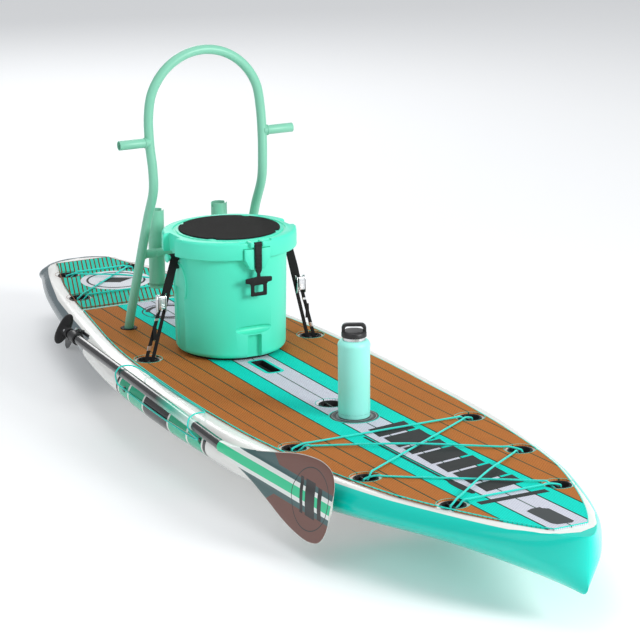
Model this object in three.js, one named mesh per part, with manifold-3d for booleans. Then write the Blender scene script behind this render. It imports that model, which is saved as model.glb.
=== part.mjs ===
// Rigged stand up paddleboard: rigid hull, foam deck pads, lacing, rack, strapped cooler, bottle and paddle.
// Millimetres, +Z up. The nose points along -Y, the tail along +Y, and the hull bottom lies at z = 0.
// Left and right are those of a rider who faces the nose, so the right rail is at -X.
import * as THREE from 'three';
import { mergeVertices } from 'three/addons/utils/BufferGeometryUtils.js';
import Module from 'manifold-3d';

const wasm = await Module();
wasm.setup();

// ---- driving dimensions ----
const GAP = 0.3; // clearance between touching pieces
const LENGTH = 3200;
const NOSE_Y = -LENGTH / 2;
const TAIL_Y = LENGTH / 2;
const PAD_TOP = 120; // top of the foam pad amidships
const PAD_THICK = 5;
const DECK = PAD_TOP - PAD_THICK - GAP; // hull deck amidships
const CORD_R = 2.8;
const RAIL_CORD_R = 2.3;
const CUP_R = 34; // flange radius of a lacing eyelet
const CUP_DEPTH = 19;
const CUP_INNER_R = 28;
const CUP_SIDES = 12;
const PIN_R = 3;
const PIN_DROP = 4; // an eyelet's pin below the hull deck
const RING_R = 42; // hole in the pad around an eyelet
const LACE_FRONT = [[273, -594], [233, -919], [155, -1226]];
const LACE_TAIL = [[188, 1110], [115, 1390]];
const TIE_DOWN = [274, 363];
const CENTRE_EYELET_Y = -286;
const MAGNET_Y = -427;
const MAGNET_R = 68;
const HANDLE = { y0: 59, y1: 189, halfWidth: 22, depth: 42, wall: 2.5 };
const TUBE_R = 14.3; // rack tube
const RACK_FOOT = new THREE.Vector3(190, 700, PAD_TOP + 5);
const RACK_LEAN = new THREE.Vector3(0, -0.3666, 0.9304); // direction of a leg
const ROD = { x: 108, y: 658, z0: 253, z1: 500, outer: 25, inner: 22 };
const COOLER_Y = 360;
const COOLER = { bottom: 128.3, rim: 470, top: 492, r: 172, baseR: 167, innerR: 146, floor: 160 };
const LID = { a: 206, b: 190, skirtBottom: 437, skirtInner: 177, plate: 477 };
const LID_HINGE = { y: COOLER_Y + 198, z: 444 };
const LATCH_PIN = { y: COOLER_Y - 193, z: 484 };
const PEG = { y: 355, z: 425, r: 9 }; // strap pegs at the cooler's sides
const BOTTLE = { r: 44.5, base: PAD_TOP + 1.3, shoulder: 209, neck: 221, cap: 229, capR: 35, top: 267 };
const SHAFT_R = 14.5;
const SHAFT_BORE = 13;
const INNER_SHAFT_R = 12.6;
const THROAT = new THREE.Vector3(-406.5, -431, 100); // where the paddle's shaft enters the blade
const SHAFT_DIR = new THREE.Vector3(0, 1, 0.0408).normalize(); // towards the grip
const SHAFT_LENGTH = 1056;
const BLADE_TIP = new THREE.Vector3(-357, -959, 76);
const BLADE_LENGTH = 534;
const BLADE_ROLL = -12;
const GRIP_ROLL = 30;
const FIN_BOX = { y0: 1180, y1: 1440, halfWidth: 13, depth: 32, slot: 5 };
const CENTRE_FIN = { y: 1310, half: 64, depth: 118 };
const SIDE_FIN = { x: 200, y: 1172, half: 55, depth: 116 };

// ---- materials ----
function paint(color, roughness, metalness = 0) {
  return new THREE.MeshStandardMaterial({ color, roughness, metalness });
}
const MATERIALS = {
  hull: paint(0xe8e8e4, 0.25),
  foam: paint(0xb5703a, 0.9),
  tailFoam: paint(0x3fe0c0, 0.9),
  black: paint(0x161616, 0.5),
  rubber: paint(0x1c1c1c, 0.8),
  cord: paint(0x1fd8c0, 0.7),
  sage: paint(0x98dcc4, 0.35),
  mint: paint(0x5de6c4, 0.45),
  steel: paint(0xc4c4c4, 0.3, 1),
  carbon: paint(0x242424, 0.3),
  blade: paint(0x73483f, 0.4),
  bottle: paint(0x9af0dc, 0.45),
};

// ---- solids ----
/** The triangles that no other triangle lies back to back with, as the two ends of a closed tube do. */
function withoutBackToBack(index) {
  const faces = new Map();
  for (let i = 0; i < index.length; i += 3) {
    const face = [...index.slice(i, i + 3)];
    const key = [...face].sort((a, b) => a - b).join();
    faces.set(key, faces.has(key) ? [] : face);
  }
  return [...faces.values()].flat();
}

/** The closed geometry as a manifold, turned outside out if it was inside out. */
function solid(geometry) {
  geometry.deleteAttribute('normal');
  geometry.deleteAttribute('uv');
  const merged = mergeVertices(geometry, 4e-3);
  const indices = Uint32Array.from(withoutBackToBack(merged.index.array));
  const build = (triVerts) =>
    new wasm.Manifold(new wasm.Mesh({ numProp: 3, vertProperties: merged.attributes.position.array, triVerts }));
  const shape = build(indices);
  if (shape.volume() > 0) return shape;
  for (let i = 0; i < indices.length; i += 3) {
    [indices[i], indices[i + 1]] = [indices[i + 1], indices[i]];
  }
  return build(indices);
}

function geometryOf(shape) {
  const mesh = shape.getMesh();
  const geometry = new THREE.BufferGeometry();
  geometry.setAttribute('position', new THREE.BufferAttribute(mesh.vertProperties, mesh.numProp));
  geometry.setIndex(new THREE.BufferAttribute(mesh.triVerts, 1));
  return geometry;
}

const board = new THREE.Group();
function add(name, shape, material) {
  const mesh = new THREE.Mesh(geometryOf(shape), material.clone());
  mesh.name = name;
  board.add(mesh);
}

const v3 = (x, y, z) => new THREE.Vector3(x, y, z);
const union = (shapes) => shapes.reduce((sum, shape) => sum.add(shape));
const carve = (shape, cuts) => cuts.reduce((left, cut) => left.subtract(cut), shape);
const sides = [[1, 'left'], [-1, 'right']];

/** A box between two corners. */
function box(x0, y0, z0, x1, y1, z1) {
  const size = [Math.abs(x1 - x0), Math.abs(y1 - y0), Math.abs(z1 - z0)];
  const geometry = new THREE.BoxGeometry(...size);
  return solid(geometry.translate((x0 + x1) / 2, (y0 + y1) / 2, (z0 + z1) / 2));
}

/** A round bar between two points. */
function rod(from, to, radius, segments = 20, endRadius = radius) {
  const length = from.distanceTo(to);
  const geometry = new THREE.CylinderGeometry(endRadius, radius, length, segments);
  const turn = new THREE.Quaternion().setFromUnitVectors(v3(0, 1, 0), to.clone().sub(from).normalize());
  const middle = from.clone().add(to).multiplyScalar(0.5);
  return solid(geometry.applyQuaternion(turn).translate(middle.x, middle.y, middle.z));
}

/** A turned shape about the vertical axis through (x, y), from [radius, z] pairs. */
function turned(profile, x, y, segments = 32) {
  const geometry = new THREE.LatheGeometry(profile.map(([r, z]) => new THREE.Vector2(r, z)), segments);
  return solid(geometry.rotateX(Math.PI / 2).translate(x, y, 0));
}

/** A closed ring section [inner, outer] between two heights, about the vertical axis through (x, y). */
function ring(inner, outer, z0, z1, x, y, segments = 32) {
  return turned([[inner, z0], [outer, z0], [outer, z1], [inner, z1], [inner, z0]], x, y, segments);
}

function disc(radius, z0, z1, x, y, segments = 32) {
  return rod(v3(x, y, z0), v3(x, y, z1), radius, segments);
}

/** A flat outline of [x, y] points raised from z0 to z1. */
function plate(points, z0, z1) {
  const shape = new THREE.Shape(points.map(([x, y]) => new THREE.Vector2(x, y)));
  return solid(new THREE.ExtrudeGeometry(shape, { depth: z1 - z0, bevelEnabled: false }).translate(0, 0, z0));
}

/** An outline of [x, z] points, thickened along Y from y0 to y1. */
function upright(points, y0, y1) {
  const shape = new THREE.Shape(points.map(([x, z]) => new THREE.Vector2(x, z)));
  const geometry = new THREE.ExtrudeGeometry(shape, { depth: y1 - y0, bevelEnabled: false });
  return solid(geometry.rotateX(Math.PI / 2).translate(0, y1, 0));
}

/** An outline of [y, z] points, thickened along X about x. */
function finPlate(points, x, thickness) {
  const shape = new THREE.Shape(points.map(([y, z]) => new THREE.Vector2(y, z)));
  const geometry = new THREE.ExtrudeGeometry(shape, { depth: thickness, bevelEnabled: false });
  geometry.translate(0, 0, -thickness / 2).rotateY(Math.PI / 2).rotateX(Math.PI / 2);
  return solid(geometry.translate(x, 0, 0));
}

/** A round tube or cord along a curve. */
function tube(curve, radius, steps, segments = 8) {
  const section = new THREE.Shape(new THREE.EllipseCurve(0, 0, radius, radius).getPoints(segments).slice(0, -1));
  return solid(new THREE.ExtrudeGeometry(section, { steps, extrudePath: curve, bevelEnabled: false }));
}

/** A skin over rings that have the same number of points, with a flat cap at each end. */
function loft(rings) {
  const count = rings[0].length;
  const positions = rings.flat().flatMap((p) => [p.x, p.y, p.z]);
  const index = [];
  for (let i = 0; i + 1 < rings.length; i++) {
    for (let j = 0; j < count; j++) {
      const a = i * count + j;
      const b = i * count + ((j + 1) % count);
      index.push(a, b, a + count, b, b + count, a + count);
    }
  }
  const last = (rings.length - 1) * count;
  for (let j = 1; j + 1 < count; j++) {
    index.push(0, j + 1, j, last, last + j, last + j + 1);
  }
  const geometry = new THREE.BufferGeometry();
  geometry.setAttribute('position', new THREE.Float32BufferAttribute(positions, 3));
  geometry.setIndex(index);
  return solid(geometry);
}

// ---- hull lines ----
const clamp = THREE.MathUtils.clamp;
/** 0 at `from` and 1 at `to`, with a soft start and end. */
function ease(y, from, to) {
  const t = clamp((y - from) / (to - from), 0, 1);
  return t * t * (3 - 2 * t);
}

/** A smooth curve through [y, value] pairs. */
function through(pairs) {
  const slope = (i) => {
    const a = pairs[Math.max(i - 1, 0)];
    const b = pairs[Math.min(i + 1, pairs.length - 1)];
    return (b[1] - a[1]) / (b[0] - a[0]);
  };
  return (y) => {
    const i = clamp(pairs.findIndex(([at]) => at >= y) - 1, 0, pairs.length - 2);
    const [[y0, v0], [y1, v1]] = [pairs[i], pairs[i + 1]];
    const h = y1 - y0;
    const t = (y - y0) / h;
    const start = (1 + 2 * t) * (1 - t) ** 2 * v0 + t * (1 - t) ** 2 * h * slope(i);
    return start + t * t * (3 - 2 * t) * v1 + t * t * (t - 1) * h * slope(i + 1);
  };
}

const midHalfWidth = through([
  [-1300, 201], [-1087, 286], [-727, 368], [-477, 397], [-227, 405], [23, 406], [473, 384], [853, 322],
  [1273, 237], [1523, 160],
  [1700, 90],
]);
const BOW_END = -1087;
const FLAT_END = 80; // the bottom is flat from the bow to here
const STERN_START = 1523;

/** Half of the hull's greatest width at y: a power curve at the bow and a rounded square tail. */
function halfWidth(y) {
  if (y < BOW_END) return 45 * ((y - NOSE_Y) / 26) ** 0.62;
  if (y < STERN_START) return midHalfWidth(y);
  const along = (y - STERN_START) / (TAIL_Y - STERN_START);
  return 160 * Math.sqrt(Math.max(0, 1 - along ** 3));
}

/** Rise of the deck above its level amidships. */
function rocker(y) {
  const forward = Math.max(0, -122 - y) / 1000;
  const aft = Math.max(0, y - 473) / 1000;
  return 28.57 * forward ** 2 - 6.44 * forward ** 3 + 6.5 * aft ** 2;
}

/** Height of the hull's bottom on the centreline: flat, with a round forefoot and a long rise to the tail. */
function keel(y) {
  const FOREFOOT_R = 30;
  const RISE = 0.0425;
  const fromNose = y - NOSE_Y;
  if (fromNose < FOREFOOT_R) return FOREFOOT_R - Math.sqrt(FOREFOOT_R ** 2 - (FOREFOOT_R - fromNose) ** 2);
  if (y < FLAT_END) return 0;
  if (y < FLAT_END + 200) return (RISE * (y - FLAT_END) ** 2) / 400;
  return RISE * (y - FLAT_END - 100);
}

/** One closed cross-section of the hull. */
function hullSection(y) {
  const ARC = 5; // steps in each quarter of the rail
  const half = halfWidth(y);
  const bow = ease(y, -600, -1400);
  const stem = ease(y, -1440, -1575);
  const stern = ease(y, 1380, 1590);
  const low = keel(y);
  const top = DECK + rocker(y);
  const wide = low + (top - low) * (0.52 + 0.19 * bow - 0.2 * stem);
  const flat = half * (0.755 - 0.755 * ease(y, -420, -1250) - 0.4 * stern);
  const power = 2 - 0.55 * ease(y, -600, -1250) - 0.15 * stem;
  const shoulder = Math.min(half * (0.15 + 0.12 * bow + 0.25 * stern), 60);
  const right = [];
  for (let i = 0; i <= ARC; i++) {
    const angle = (i / ARC) * (Math.PI / 2);
    const across = flat + (half - flat) * Math.sin(angle) ** (2 / power);
    right.push(v3(across, y, wide - (wide - low) * Math.cos(angle) ** (2 / power)));
  }
  for (let i = 1; i <= ARC; i++) {
    const angle = (i / ARC) * (Math.PI / 2);
    right.push(v3(half - shoulder * (1 - Math.cos(angle)), y, wide + (top - wide) * Math.sin(angle)));
  }
  const left = right.map((p) => v3(-p.x, p.y, p.z)).reverse();
  return [v3(0, y, low), ...right, v3(0, y, top), ...left];
}

function hullStations() {
  const nose = [0.4, 4, 13, 30, 58, 98, 150, 220, 305, 405, 525, 665, 825];
  const middle = [-560, -340, -122, FLAT_END, 180, FLAT_END + 200, 473, 700, 940, 1170, 1370];
  const stern = [1480, 1540, 1575, 1591, 1597];
  return [...nose.map((d) => NOSE_Y + d), ...middle, ...stern];
}
const hullForm = loft(hullStations().map(hullSection));
const deckAt = (y) => DECK + rocker(y);
const padAt = (y) => PAD_TOP + rocker(y);

/** A sheet that follows the deck, from height `from` to height `to` above the hull deck. */
function deckSheet(from, to) {
  const stations = [NOSE_Y, ...hullStations().filter((y) => y > -1520 && y < 1590), TAIL_Y];
  return loft(stations.map((y) => [
    v3(-420, y, deckAt(y) + from), v3(420, y, deckAt(y) + from), v3(420, y, deckAt(y) + to), v3(-420, y, deckAt(y) + to),
  ]));
}

// ---- deck fittings ----
const laceEyelets = [];
const centreEyelet = [0, CENTRE_EYELET_Y];
for (const [sign, side] of sides) {
  LACE_FRONT.forEach(([x, y], i) => laceEyelets.push({ name: `eyelet_front_${side}_${i + 1}`, x: sign * x, y }));
  LACE_TAIL.forEach(([x, y], i) => laceEyelets.push({ name: `eyelet_tail_${side}_${i + 1}`, x: sign * x, y }));
}
const tieDowns = sides.map(([sign, side]) => ({ name: `tie_down_${side}`, x: sign * TIE_DOWN[0], y: TIE_DOWN[1] }));
const allEyelets = [...laceEyelets, ...tieDowns, { name: 'eyelet_centre', x: centreEyelet[0], y: centreEyelet[1] }];

/** A recessed cup with a steel-cored pin across its mouth. */
function eyelet({ x, y, name }) {
  const z = deckAt(y) + 1.5;
  const wall = CUP_INNER_R + 2.5;
  const cup = turned([
    [0, z - CUP_DEPTH], [wall, z - CUP_DEPTH], [wall, z], [CUP_R, z], [CUP_R, z + 1.6], [CUP_INNER_R, z + 1.6],
    [CUP_INNER_R - 3, z - CUP_DEPTH + 2.5], [0, z - CUP_DEPTH + 2.5],
  ], x, y, CUP_SIDES);
  const pinZ = deckAt(y) - PIN_DROP;
  const reach = CUP_INNER_R + 1.5;
  const across = name.startsWith('tie_down') ? v3(reach, 0, 0) : v3(0, reach, 0);
  const centre = v3(x, y, pinZ);
  return cup.add(rod(centre.clone().sub(across), centre.clone().add(across), PIN_R, 8));
}

const eyeletPockets = allEyelets.map(({ x, y }) =>
  turned([[0, deckAt(y) + 1.2 - CUP_DEPTH], [CUP_INNER_R + 2.9, deckAt(y) + 1.2 - CUP_DEPTH],
    [CUP_INNER_R + 2.9, deckAt(y) + 60], [0, deckAt(y) + 60]], x, y, CUP_SIDES));
const eyeletHoles = allEyelets.map(({ x, y }) => disc(RING_R, PAD_TOP - 30, PAD_TOP + 90, x, y, 16));

/** Rounded slot outline for the carry handle. */
function slotOutline(grow) {
  const w = HANDLE.halfWidth + grow;
  const cut = 10 + grow;
  const y0 = HANDLE.y0 - grow;
  const y1 = HANDLE.y1 + grow;
  return [
    [-w + cut, y0], [w - cut, y0], [w, y0 + cut], [w, y1 - cut],
    [w - cut, y1], [-w + cut, y1], [-w, y1 - cut], [-w, y0 + cut],
  ];
}

function carryHandle() {
  const low = DECK - HANDLE.depth;
  const shell = plate(slotOutline(0), low, DECK).add(plate(slotOutline(5), DECK + GAP, DECK + GAP + 3));
  const neck = plate(slotOutline(0), DECK - 1, DECK + 2);
  const hollow = plate(slotOutline(-HANDLE.wall), low + HANDLE.wall, DECK + 20);
  const grip = rod(v3(0, HANDLE.y0, DECK - 9), v3(0, HANDLE.y1, DECK - 9), 6.5, 12);
  return union([shell, neck]).subtract(hollow).add(grip);
}

const rackSocketAxis = sides.map(([sign]) => ({
  foot: v3(sign * RACK_FOOT.x, RACK_FOOT.y, RACK_FOOT.z),
  at: (s) => v3(sign * RACK_FOOT.x, RACK_FOOT.y, RACK_FOOT.z).addScaledVector(RACK_LEAN, s),
}));
const SOCKET_R = 19;

function rackSocket({ at, foot }) {
  const barrel = rod(at(-88), at(-4), SOCKET_R, 16);
  const flange = disc(26, deckAt(foot.y) + GAP, padAt(foot.y) + 2.5, foot.x, foot.y + 2, 20);
  return barrel.add(flange).subtract(rod(at(-84), at(20), TUBE_R + 0.6, 16));
}

const rackPockets = rackSocketAxis.map(({ at }) => rod(at(-88 - GAP), at(30), SOCKET_R + GAP, 16));
const rackPadHoles = rackSocketAxis.map(({ foot }) => disc(27.5, PAD_TOP - 30, PAD_TOP + 90, foot.x, foot.y + 2, 20));

// ---- fins ----
function finBox() {
  const { y0, y1, halfWidth: w, depth } = FIN_BOX;
  const block = box(-w, y0, 0, w, y1, keel((y0 + y1) / 2) + depth);
  const slot = box(-FIN_BOX.slot, y0 + 14, 0, FIN_BOX.slot, y1 - 14, keel((y0 + y1) / 2) + depth - 5);
  return block.intersect(hullForm).subtract(slot);
}

/** A swept fin blade whose root runs level from y - half to y + half. */
function finOutline(y, half, root, depth) {
  return [
    [y - half, root], [y - 0.72 * half, root - 0.3 * depth], [y - 0.3 * half, root - 0.65 * depth],
    [y + 0.3 * half, root - 0.92 * depth], [y + 0.7 * half, root - depth], [y + 0.92 * half, root - 0.93 * depth],
    [y + 0.85 * half, root - 0.6 * depth], [y + 0.9 * half, root - 0.25 * depth], [y + half, root],
  ];
}

function centreFin() {
  const { y, half, depth } = CENTRE_FIN;
  const root = keel(FIN_BOX.y0) - 1;
  const tab = box(-4.5, y - 60, root - 2, 4.5, y + 60, root + 24);
  return finPlate(finOutline(y, half, root, depth), 0, 8).add(tab);
}

function sideFin(sign) {
  const { x, y, half, depth } = SIDE_FIN;
  const root = keel(y - half) - 0.6;
  const tab = box(sign * x - 4, y - 44, root - 2, sign * x + 4, y + 46, root + 20);
  return finPlate(finOutline(y, half, root, depth), sign * x, 6).add(tab);
}
const sideFinPockets = sides.map(([sign]) => {
  const { x, y } = SIDE_FIN;
  return box(sign * x - 4.3, y - 44.3, 0, sign * x + 4.3, y + 46.3, keel(y) + 20);
});

// ---- rail cord anchors ----
const RAIL_SIDE = [v3(-401, 262, 70), v3(-403.5, -275, 70)];

/** A small flush plug in the hull side, where the cord is pinned. */
function railAnchor(at) {
  const out = v3(-1, 0, -0.25).normalize();
  return rod(at.clone().addScaledVector(out, -14), at, 8, 10);
}
const railPockets = RAIL_SIDE.map((at) => {
  const out = v3(-1, 0, -0.25).normalize();
  return rod(at.clone().addScaledVector(out, -14.3), at.clone().addScaledVector(out, 12), 8 + GAP, 10);
});

// ---- hull and pads ----
const finPocket = box(
  -FIN_BOX.halfWidth - GAP, FIN_BOX.y0 - GAP, 0, FIN_BOX.halfWidth + GAP, FIN_BOX.y1 + GAP,
  keel((FIN_BOX.y0 + FIN_BOX.y1) / 2) + FIN_BOX.depth + GAP,
);
add('hull', carve(hullForm, [
  ...eyeletPockets, ...rackPockets, ...sideFinPockets, ...railPockets, finPocket,
  plate(slotOutline(GAP), DECK - HANDLE.depth - GAP, DECK + 10),
]), MATERIALS.hull);

/** Half-width of the foam pads: the hull's own outline, set in by the painted border. */
const padHalf = (y) => halfWidth(y) - (y < 0 ? 70 - 28 * ease(y, -500, -1250) : 70 - 8 * ease(y, 500, 1300));

function padOutline(stations) {
  const near = stations.map((y) => [padHalf(y), y]);
  return [...near, ...near.map(([x, y]) => [-x, y]).reverse()];
}
const NOSE_PAD = [-1521, -1508, -1480, -1430, -1365, -1290, -1200, -1080, -940, -780, -600, -400, -150, 120, 380];
const mainPadOutline = padOutline([...NOSE_PAD, 600, 780, 940, 958]);
const tailPadOutline = padOutline([986, 1120, 1250, 1370, 1470, 1540]);

const padSheet = deckSheet(GAP, GAP + PAD_THICK);
add('deck_pad', carve(plate(mainPadOutline, PAD_TOP - 30, PAD_TOP + 90).intersect(padSheet), [
  ...eyeletHoles, ...rackPadHoles,
  disc(MAGNET_R + GAP, PAD_TOP - 30, PAD_TOP + 50, 0, MAGNET_Y, 40),
  plate(slotOutline(5 + GAP), PAD_TOP - 30, PAD_TOP + 50),
]), MATERIALS.foam);
add('tail_pad', carve(plate(tailPadOutline, PAD_TOP - 30, PAD_TOP + 90).intersect(padSheet), eyeletHoles),
  MATERIALS.tailFoam);
allEyelets.forEach((e) => add(e.name, eyelet(e), MATERIALS.black));
add('carry_handle', carryHandle(), MATERIALS.black);
add('magnet_pad', disc(MAGNET_R, deckAt(MAGNET_Y) + 1.4, PAD_TOP + 1 + rocker(MAGNET_Y), 0, MAGNET_Y, 40),
  MATERIALS.rubber);
add('fin_box', finBox(), MATERIALS.black);
add('centre_fin', centreFin(), MATERIALS.black);
for (const [sign, side] of sides) add(`side_fin_${side}`, sideFin(sign), MATERIALS.black);
['rail_anchor_tail', 'rail_anchor_nose'].forEach((name, i) => add(name, railAnchor(RAIL_SIDE[i]), MATERIALS.black));

// ---- lacing ----
const LACE_LIFT = CORD_R + 2; // cord centre above the pad
const WRAP_R = PIN_R + CORD_R + 1.4;

/** A curve whose even steps fall on its own points, so that they are close where the points are. */
class Route extends THREE.CatmullRomCurve3 {
  getPointAt(u, target) {
    return this.getPoint(u, target);
  }

  getTangentAt(u, target) {
    return this.getTangent(u, target);
  }
}
const route = (points, closed) => new Route(points, closed, 'centripetal');

/** Points that take a cord round an eyelet's pin: in under it, up round its outboard side and back over it. */
function wrap(x, y, from, to) {
  const outboard = Math.sign(x);
  const pinZ = deckAt(y) - PIN_DROP;
  const towards = ([tx, ty], radius, z) => {
    const reach = Math.hypot(tx - x, ty - y);
    return v3(x + ((tx - x) / reach) * radius, y + ((ty - y) / reach) * radius, z);
  };
  const round = (degrees, dy) => {
    const angle = THREE.MathUtils.degToRad(degrees);
    return v3(x + outboard * WRAP_R * Math.cos(angle), y + dy, pinZ + WRAP_R * Math.sin(angle));
  };
  const lean = (end) => Math.sign(end[1] - y) * 3.4;
  const rim = padAt(y) + 4.2;
  return [
    towards(from, RING_R + 10, padAt(y) + LACE_LIFT), towards(from, CUP_INNER_R + 2, rim),
    towards(from, 16, pinZ + 1), round(-90, lean(from)), round(-30, lean(from) / 2), round(30, lean(to) / 2),
    round(90, lean(to)), towards(to, CUP_INNER_R + 2, rim + 1), towards(to, RING_R + 10, padAt(y) + LACE_LIFT),
  ];
}

/** A closed lacing that visits [x, y] pins in turn; raised spans pass over the span that they cross. */
function lacing(pins, raised) {
  const points = [];
  pins.forEach(([x, y], i) => {
    const before = pins[(i + pins.length - 1) % pins.length];
    const after = pins[(i + 1) % pins.length];
    points.push(...wrap(x, y, before, after));
    const middle = v3((x + after[0]) / 2, (y + after[1]) / 2, (padAt(y) + padAt(after[1])) / 2 + LACE_LIFT);
    if (raised.includes(i)) middle.z += 2 * CORD_R + 2;
    points.push(middle);
  });
  return route(points, true);
}
const [frontA, frontB, frontC] = LACE_FRONT;
const [tailA, tailB] = LACE_TAIL;
const other = ([x, y]) => [-x, y];
const frontLacing = lacing([frontC, other(frontC), frontB, other(frontA), frontA, other(frontB)], [1, 2]);
const tailLacing = lacing([tailB, other(tailB), tailA, other(tailA)], [1]);
add('front_bungee', tube(frontLacing, CORD_R, 60), MATERIALS.cord);
add('tail_bungee', tube(tailLacing, CORD_R, 40), MATERIALS.cord);

/** The rail loop: along the pad's edge, over the paddle's shaft at both ends and along the hull side. */
function railLoop() {
  const side = (y, z) => v3(-halfWidth(y) - RAIL_CORD_R - 1.8, y, z);
  const edge = (y) => v3(-padHalf(y) - RAIL_CORD_R - 2.4, y, DECK + RAIL_CORD_R + 1.2);
  return route([
    edge(0), edge(120), edge(205), v3(-345, 232, 126), v3(-366, 238, 141), v3(-392, 242, 149), v3(-415, 246, 146),
    v3(-427, 252, 129), v3(-423, 260, 106), v3(-415, 268, 88), side(254, 76), side(150, 73), side(-100, 71),
    side(-262, 71), v3(-413, -282, 80), v3(-422, -266, 92), v3(-427, -252, 106), v3(-418, -238, 124),
    v3(-398, -226, 131), v3(-372, -212, 129), v3(-350, -196, 122), edge(-160),
  ], true);
}
add('rail_bungee', tube(railLoop(), RAIL_CORD_R, 44), MATERIALS.cord);

// ---- rack ----
const BEND_Z = 640;
const ARCH_R = 186;
const ARCH_Z = 1009 - ARCH_R;

/** Centreline of the hoop, from the right foot over the arch to the left foot. */
function hoopPath() {
  const foot = (s) => RACK_FOOT.clone().addScaledVector(RACK_LEAN, s);
  const bend = foot((BEND_Z - RACK_FOOT.z) / RACK_LEAN.z);
  const half = [
    foot(-80), foot(-40), foot(0), foot(60), foot(200).setX(187), foot(400).setX(182),
    bend.clone().add(v3(-8, 6, -40)), bend.clone().add(v3(-6, 3, 25)), v3(188, bend.y + 12, 740), v3(ARCH_R, bend.y + 20, ARCH_Z),
  ];
  const arch = [];
  for (let degrees = 20; degrees <= 90; degrees += 17.5) {
    const angle = THREE.MathUtils.degToRad(degrees);
    arch.push(v3(ARCH_R * Math.cos(angle), bend.y + 20 + degrees / 20, ARCH_Z + ARCH_R * Math.sin(angle)));
  }
  const left = [...half, ...arch];
  const right = left.slice(0, -1).map((p) => v3(-p.x, p.y, p.z));
  return route([...right, ...left.reverse()], false);
}
const hoop = tube(hoopPath(), TUBE_R, 56, 12);
const hoopClearance = tube(hoopPath(), TUBE_R + GAP, 56, 12);
const CROSS = { y: 614, z: 375 };
const crossbar = rod(v3(-186, CROSS.y, CROSS.z), v3(186, CROSS.y, CROSS.z), 13.5, 16);
const crossClearance = rod(v3(-200, CROSS.y, CROSS.z), v3(200, CROSS.y, CROSS.z), 13.5 + GAP, 16);
const STUB = { y: 507, z: 746, from: 190, to: 289 };

function rodHolder(sign) {
  const { y, z0, z1, outer, inner } = ROD;
  const x = sign * ROD.x;
  const walls = turned([[0, z0], [outer, z0], [outer, z1], [inner, z1], [inner, z0 + 4], [0, z0 + 4]], x, y, 28);
  const notch = box(x - 30, y - 8, z1 - 13, x + 30, y + 8, z1 + 5);
  return carve(walls, [notch, crossClearance]);
}
add('rack_hoop', hoop, MATERIALS.sage);
add('rack_crossbar', crossbar.subtract(hoopClearance), MATERIALS.sage);
for (const [sign, side] of sides) {
  const stub = rod(v3(sign * STUB.from, STUB.y, STUB.z), v3(sign * STUB.to, STUB.y, STUB.z), TUBE_R, 16);
  const mouth = rod(v3(sign * (STUB.to - 30), STUB.y, STUB.z), v3(sign * (STUB.to + 9), STUB.y, STUB.z), 12, 16);
  add(`rack_stub_${side}`, carve(stub, [mouth, hoopClearance]), MATERIALS.sage);
  add(`rod_holder_${side}`, rodHolder(sign), MATERIALS.sage);
}
rackSocketAxis.forEach((socket, i) => add(`rack_socket_${sides[i][1]}`, rackSocket(socket), MATERIALS.black));

// ---- cooler ----
function coolerBody() {
  const { bottom, rim, r, baseR, innerR, floor } = COOLER;
  const wall = turned([
    [0, bottom], [baseR - 18, bottom], [baseR - 6, bottom + 5], [baseR, bottom + 18], [r, LID.skirtBottom], [r, rim],
    [innerR, rim], [innerR - 4, floor], [0, floor],
  ], 0, COOLER_Y, 36);
  const y = COOLER_Y;
  const grooves = sides.map(([sign]) => box(sign * 163, y - 30, bottom - 5, sign * 190, y + 24, 330));
  const notch = box(-23, y - 190, bottom - 5, 23, y - 160, 200);
  const keeper = upright([[-42, 470], [-42, 440], [-23, 408], [23, 408], [42, 440], [42, 470]], y - 195, y - 160);
  const slot = box(-12.5, y - 200, 400, 12.5, y - 188, 480);
  const knuckle = box(-27, y + 165, LID_HINGE.z - 7, 27, y + 205, LID_HINGE.z + 7);
  const pegs = sides.map(([sign]) => union([
    rod(v3(sign * 165, PEG.y, PEG.z), v3(sign * 208, PEG.y, PEG.z), PEG.r, 12),
    rod(v3(sign * 207, PEG.y, PEG.z), v3(sign * 211, PEG.y, PEG.z), 13, 12),
  ]));
  const outside = union([wall, keeper.subtract(disc(innerR + 5, 380, 500, 0, y, 32)), knuckle, ...pegs]);
  const pinHole = rod(v3(-30, LID_HINGE.y, LID_HINGE.z), v3(30, LID_HINGE.y, LID_HINGE.z), 3.3, 12);
  return carve(outside, [...grooves, notch, slot, pinHole]);
}

function coolerLiner() {
  const { rim, innerR, floor } = COOLER;
  return turned([
    [0, floor + GAP], [innerR - 4 - GAP, floor + GAP], [innerR - GAP, rim + GAP], [168, rim + GAP], [168, rim + 3],
    [innerR - 4, rim + 3], [innerR - 8, floor + 4], [0, floor + 4],
  ], 0, COOLER_Y, 36);
}

/** The lid's oval outline, as a solid between two heights. */
function oval(a, b, z0, z1) {
  const curve = new THREE.EllipseCurve(0, COOLER_Y, a, b);
  return plate(curve.getPoints(40).slice(0, -1).map((p) => [p.x, p.y]), z0, z1);
}

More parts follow.
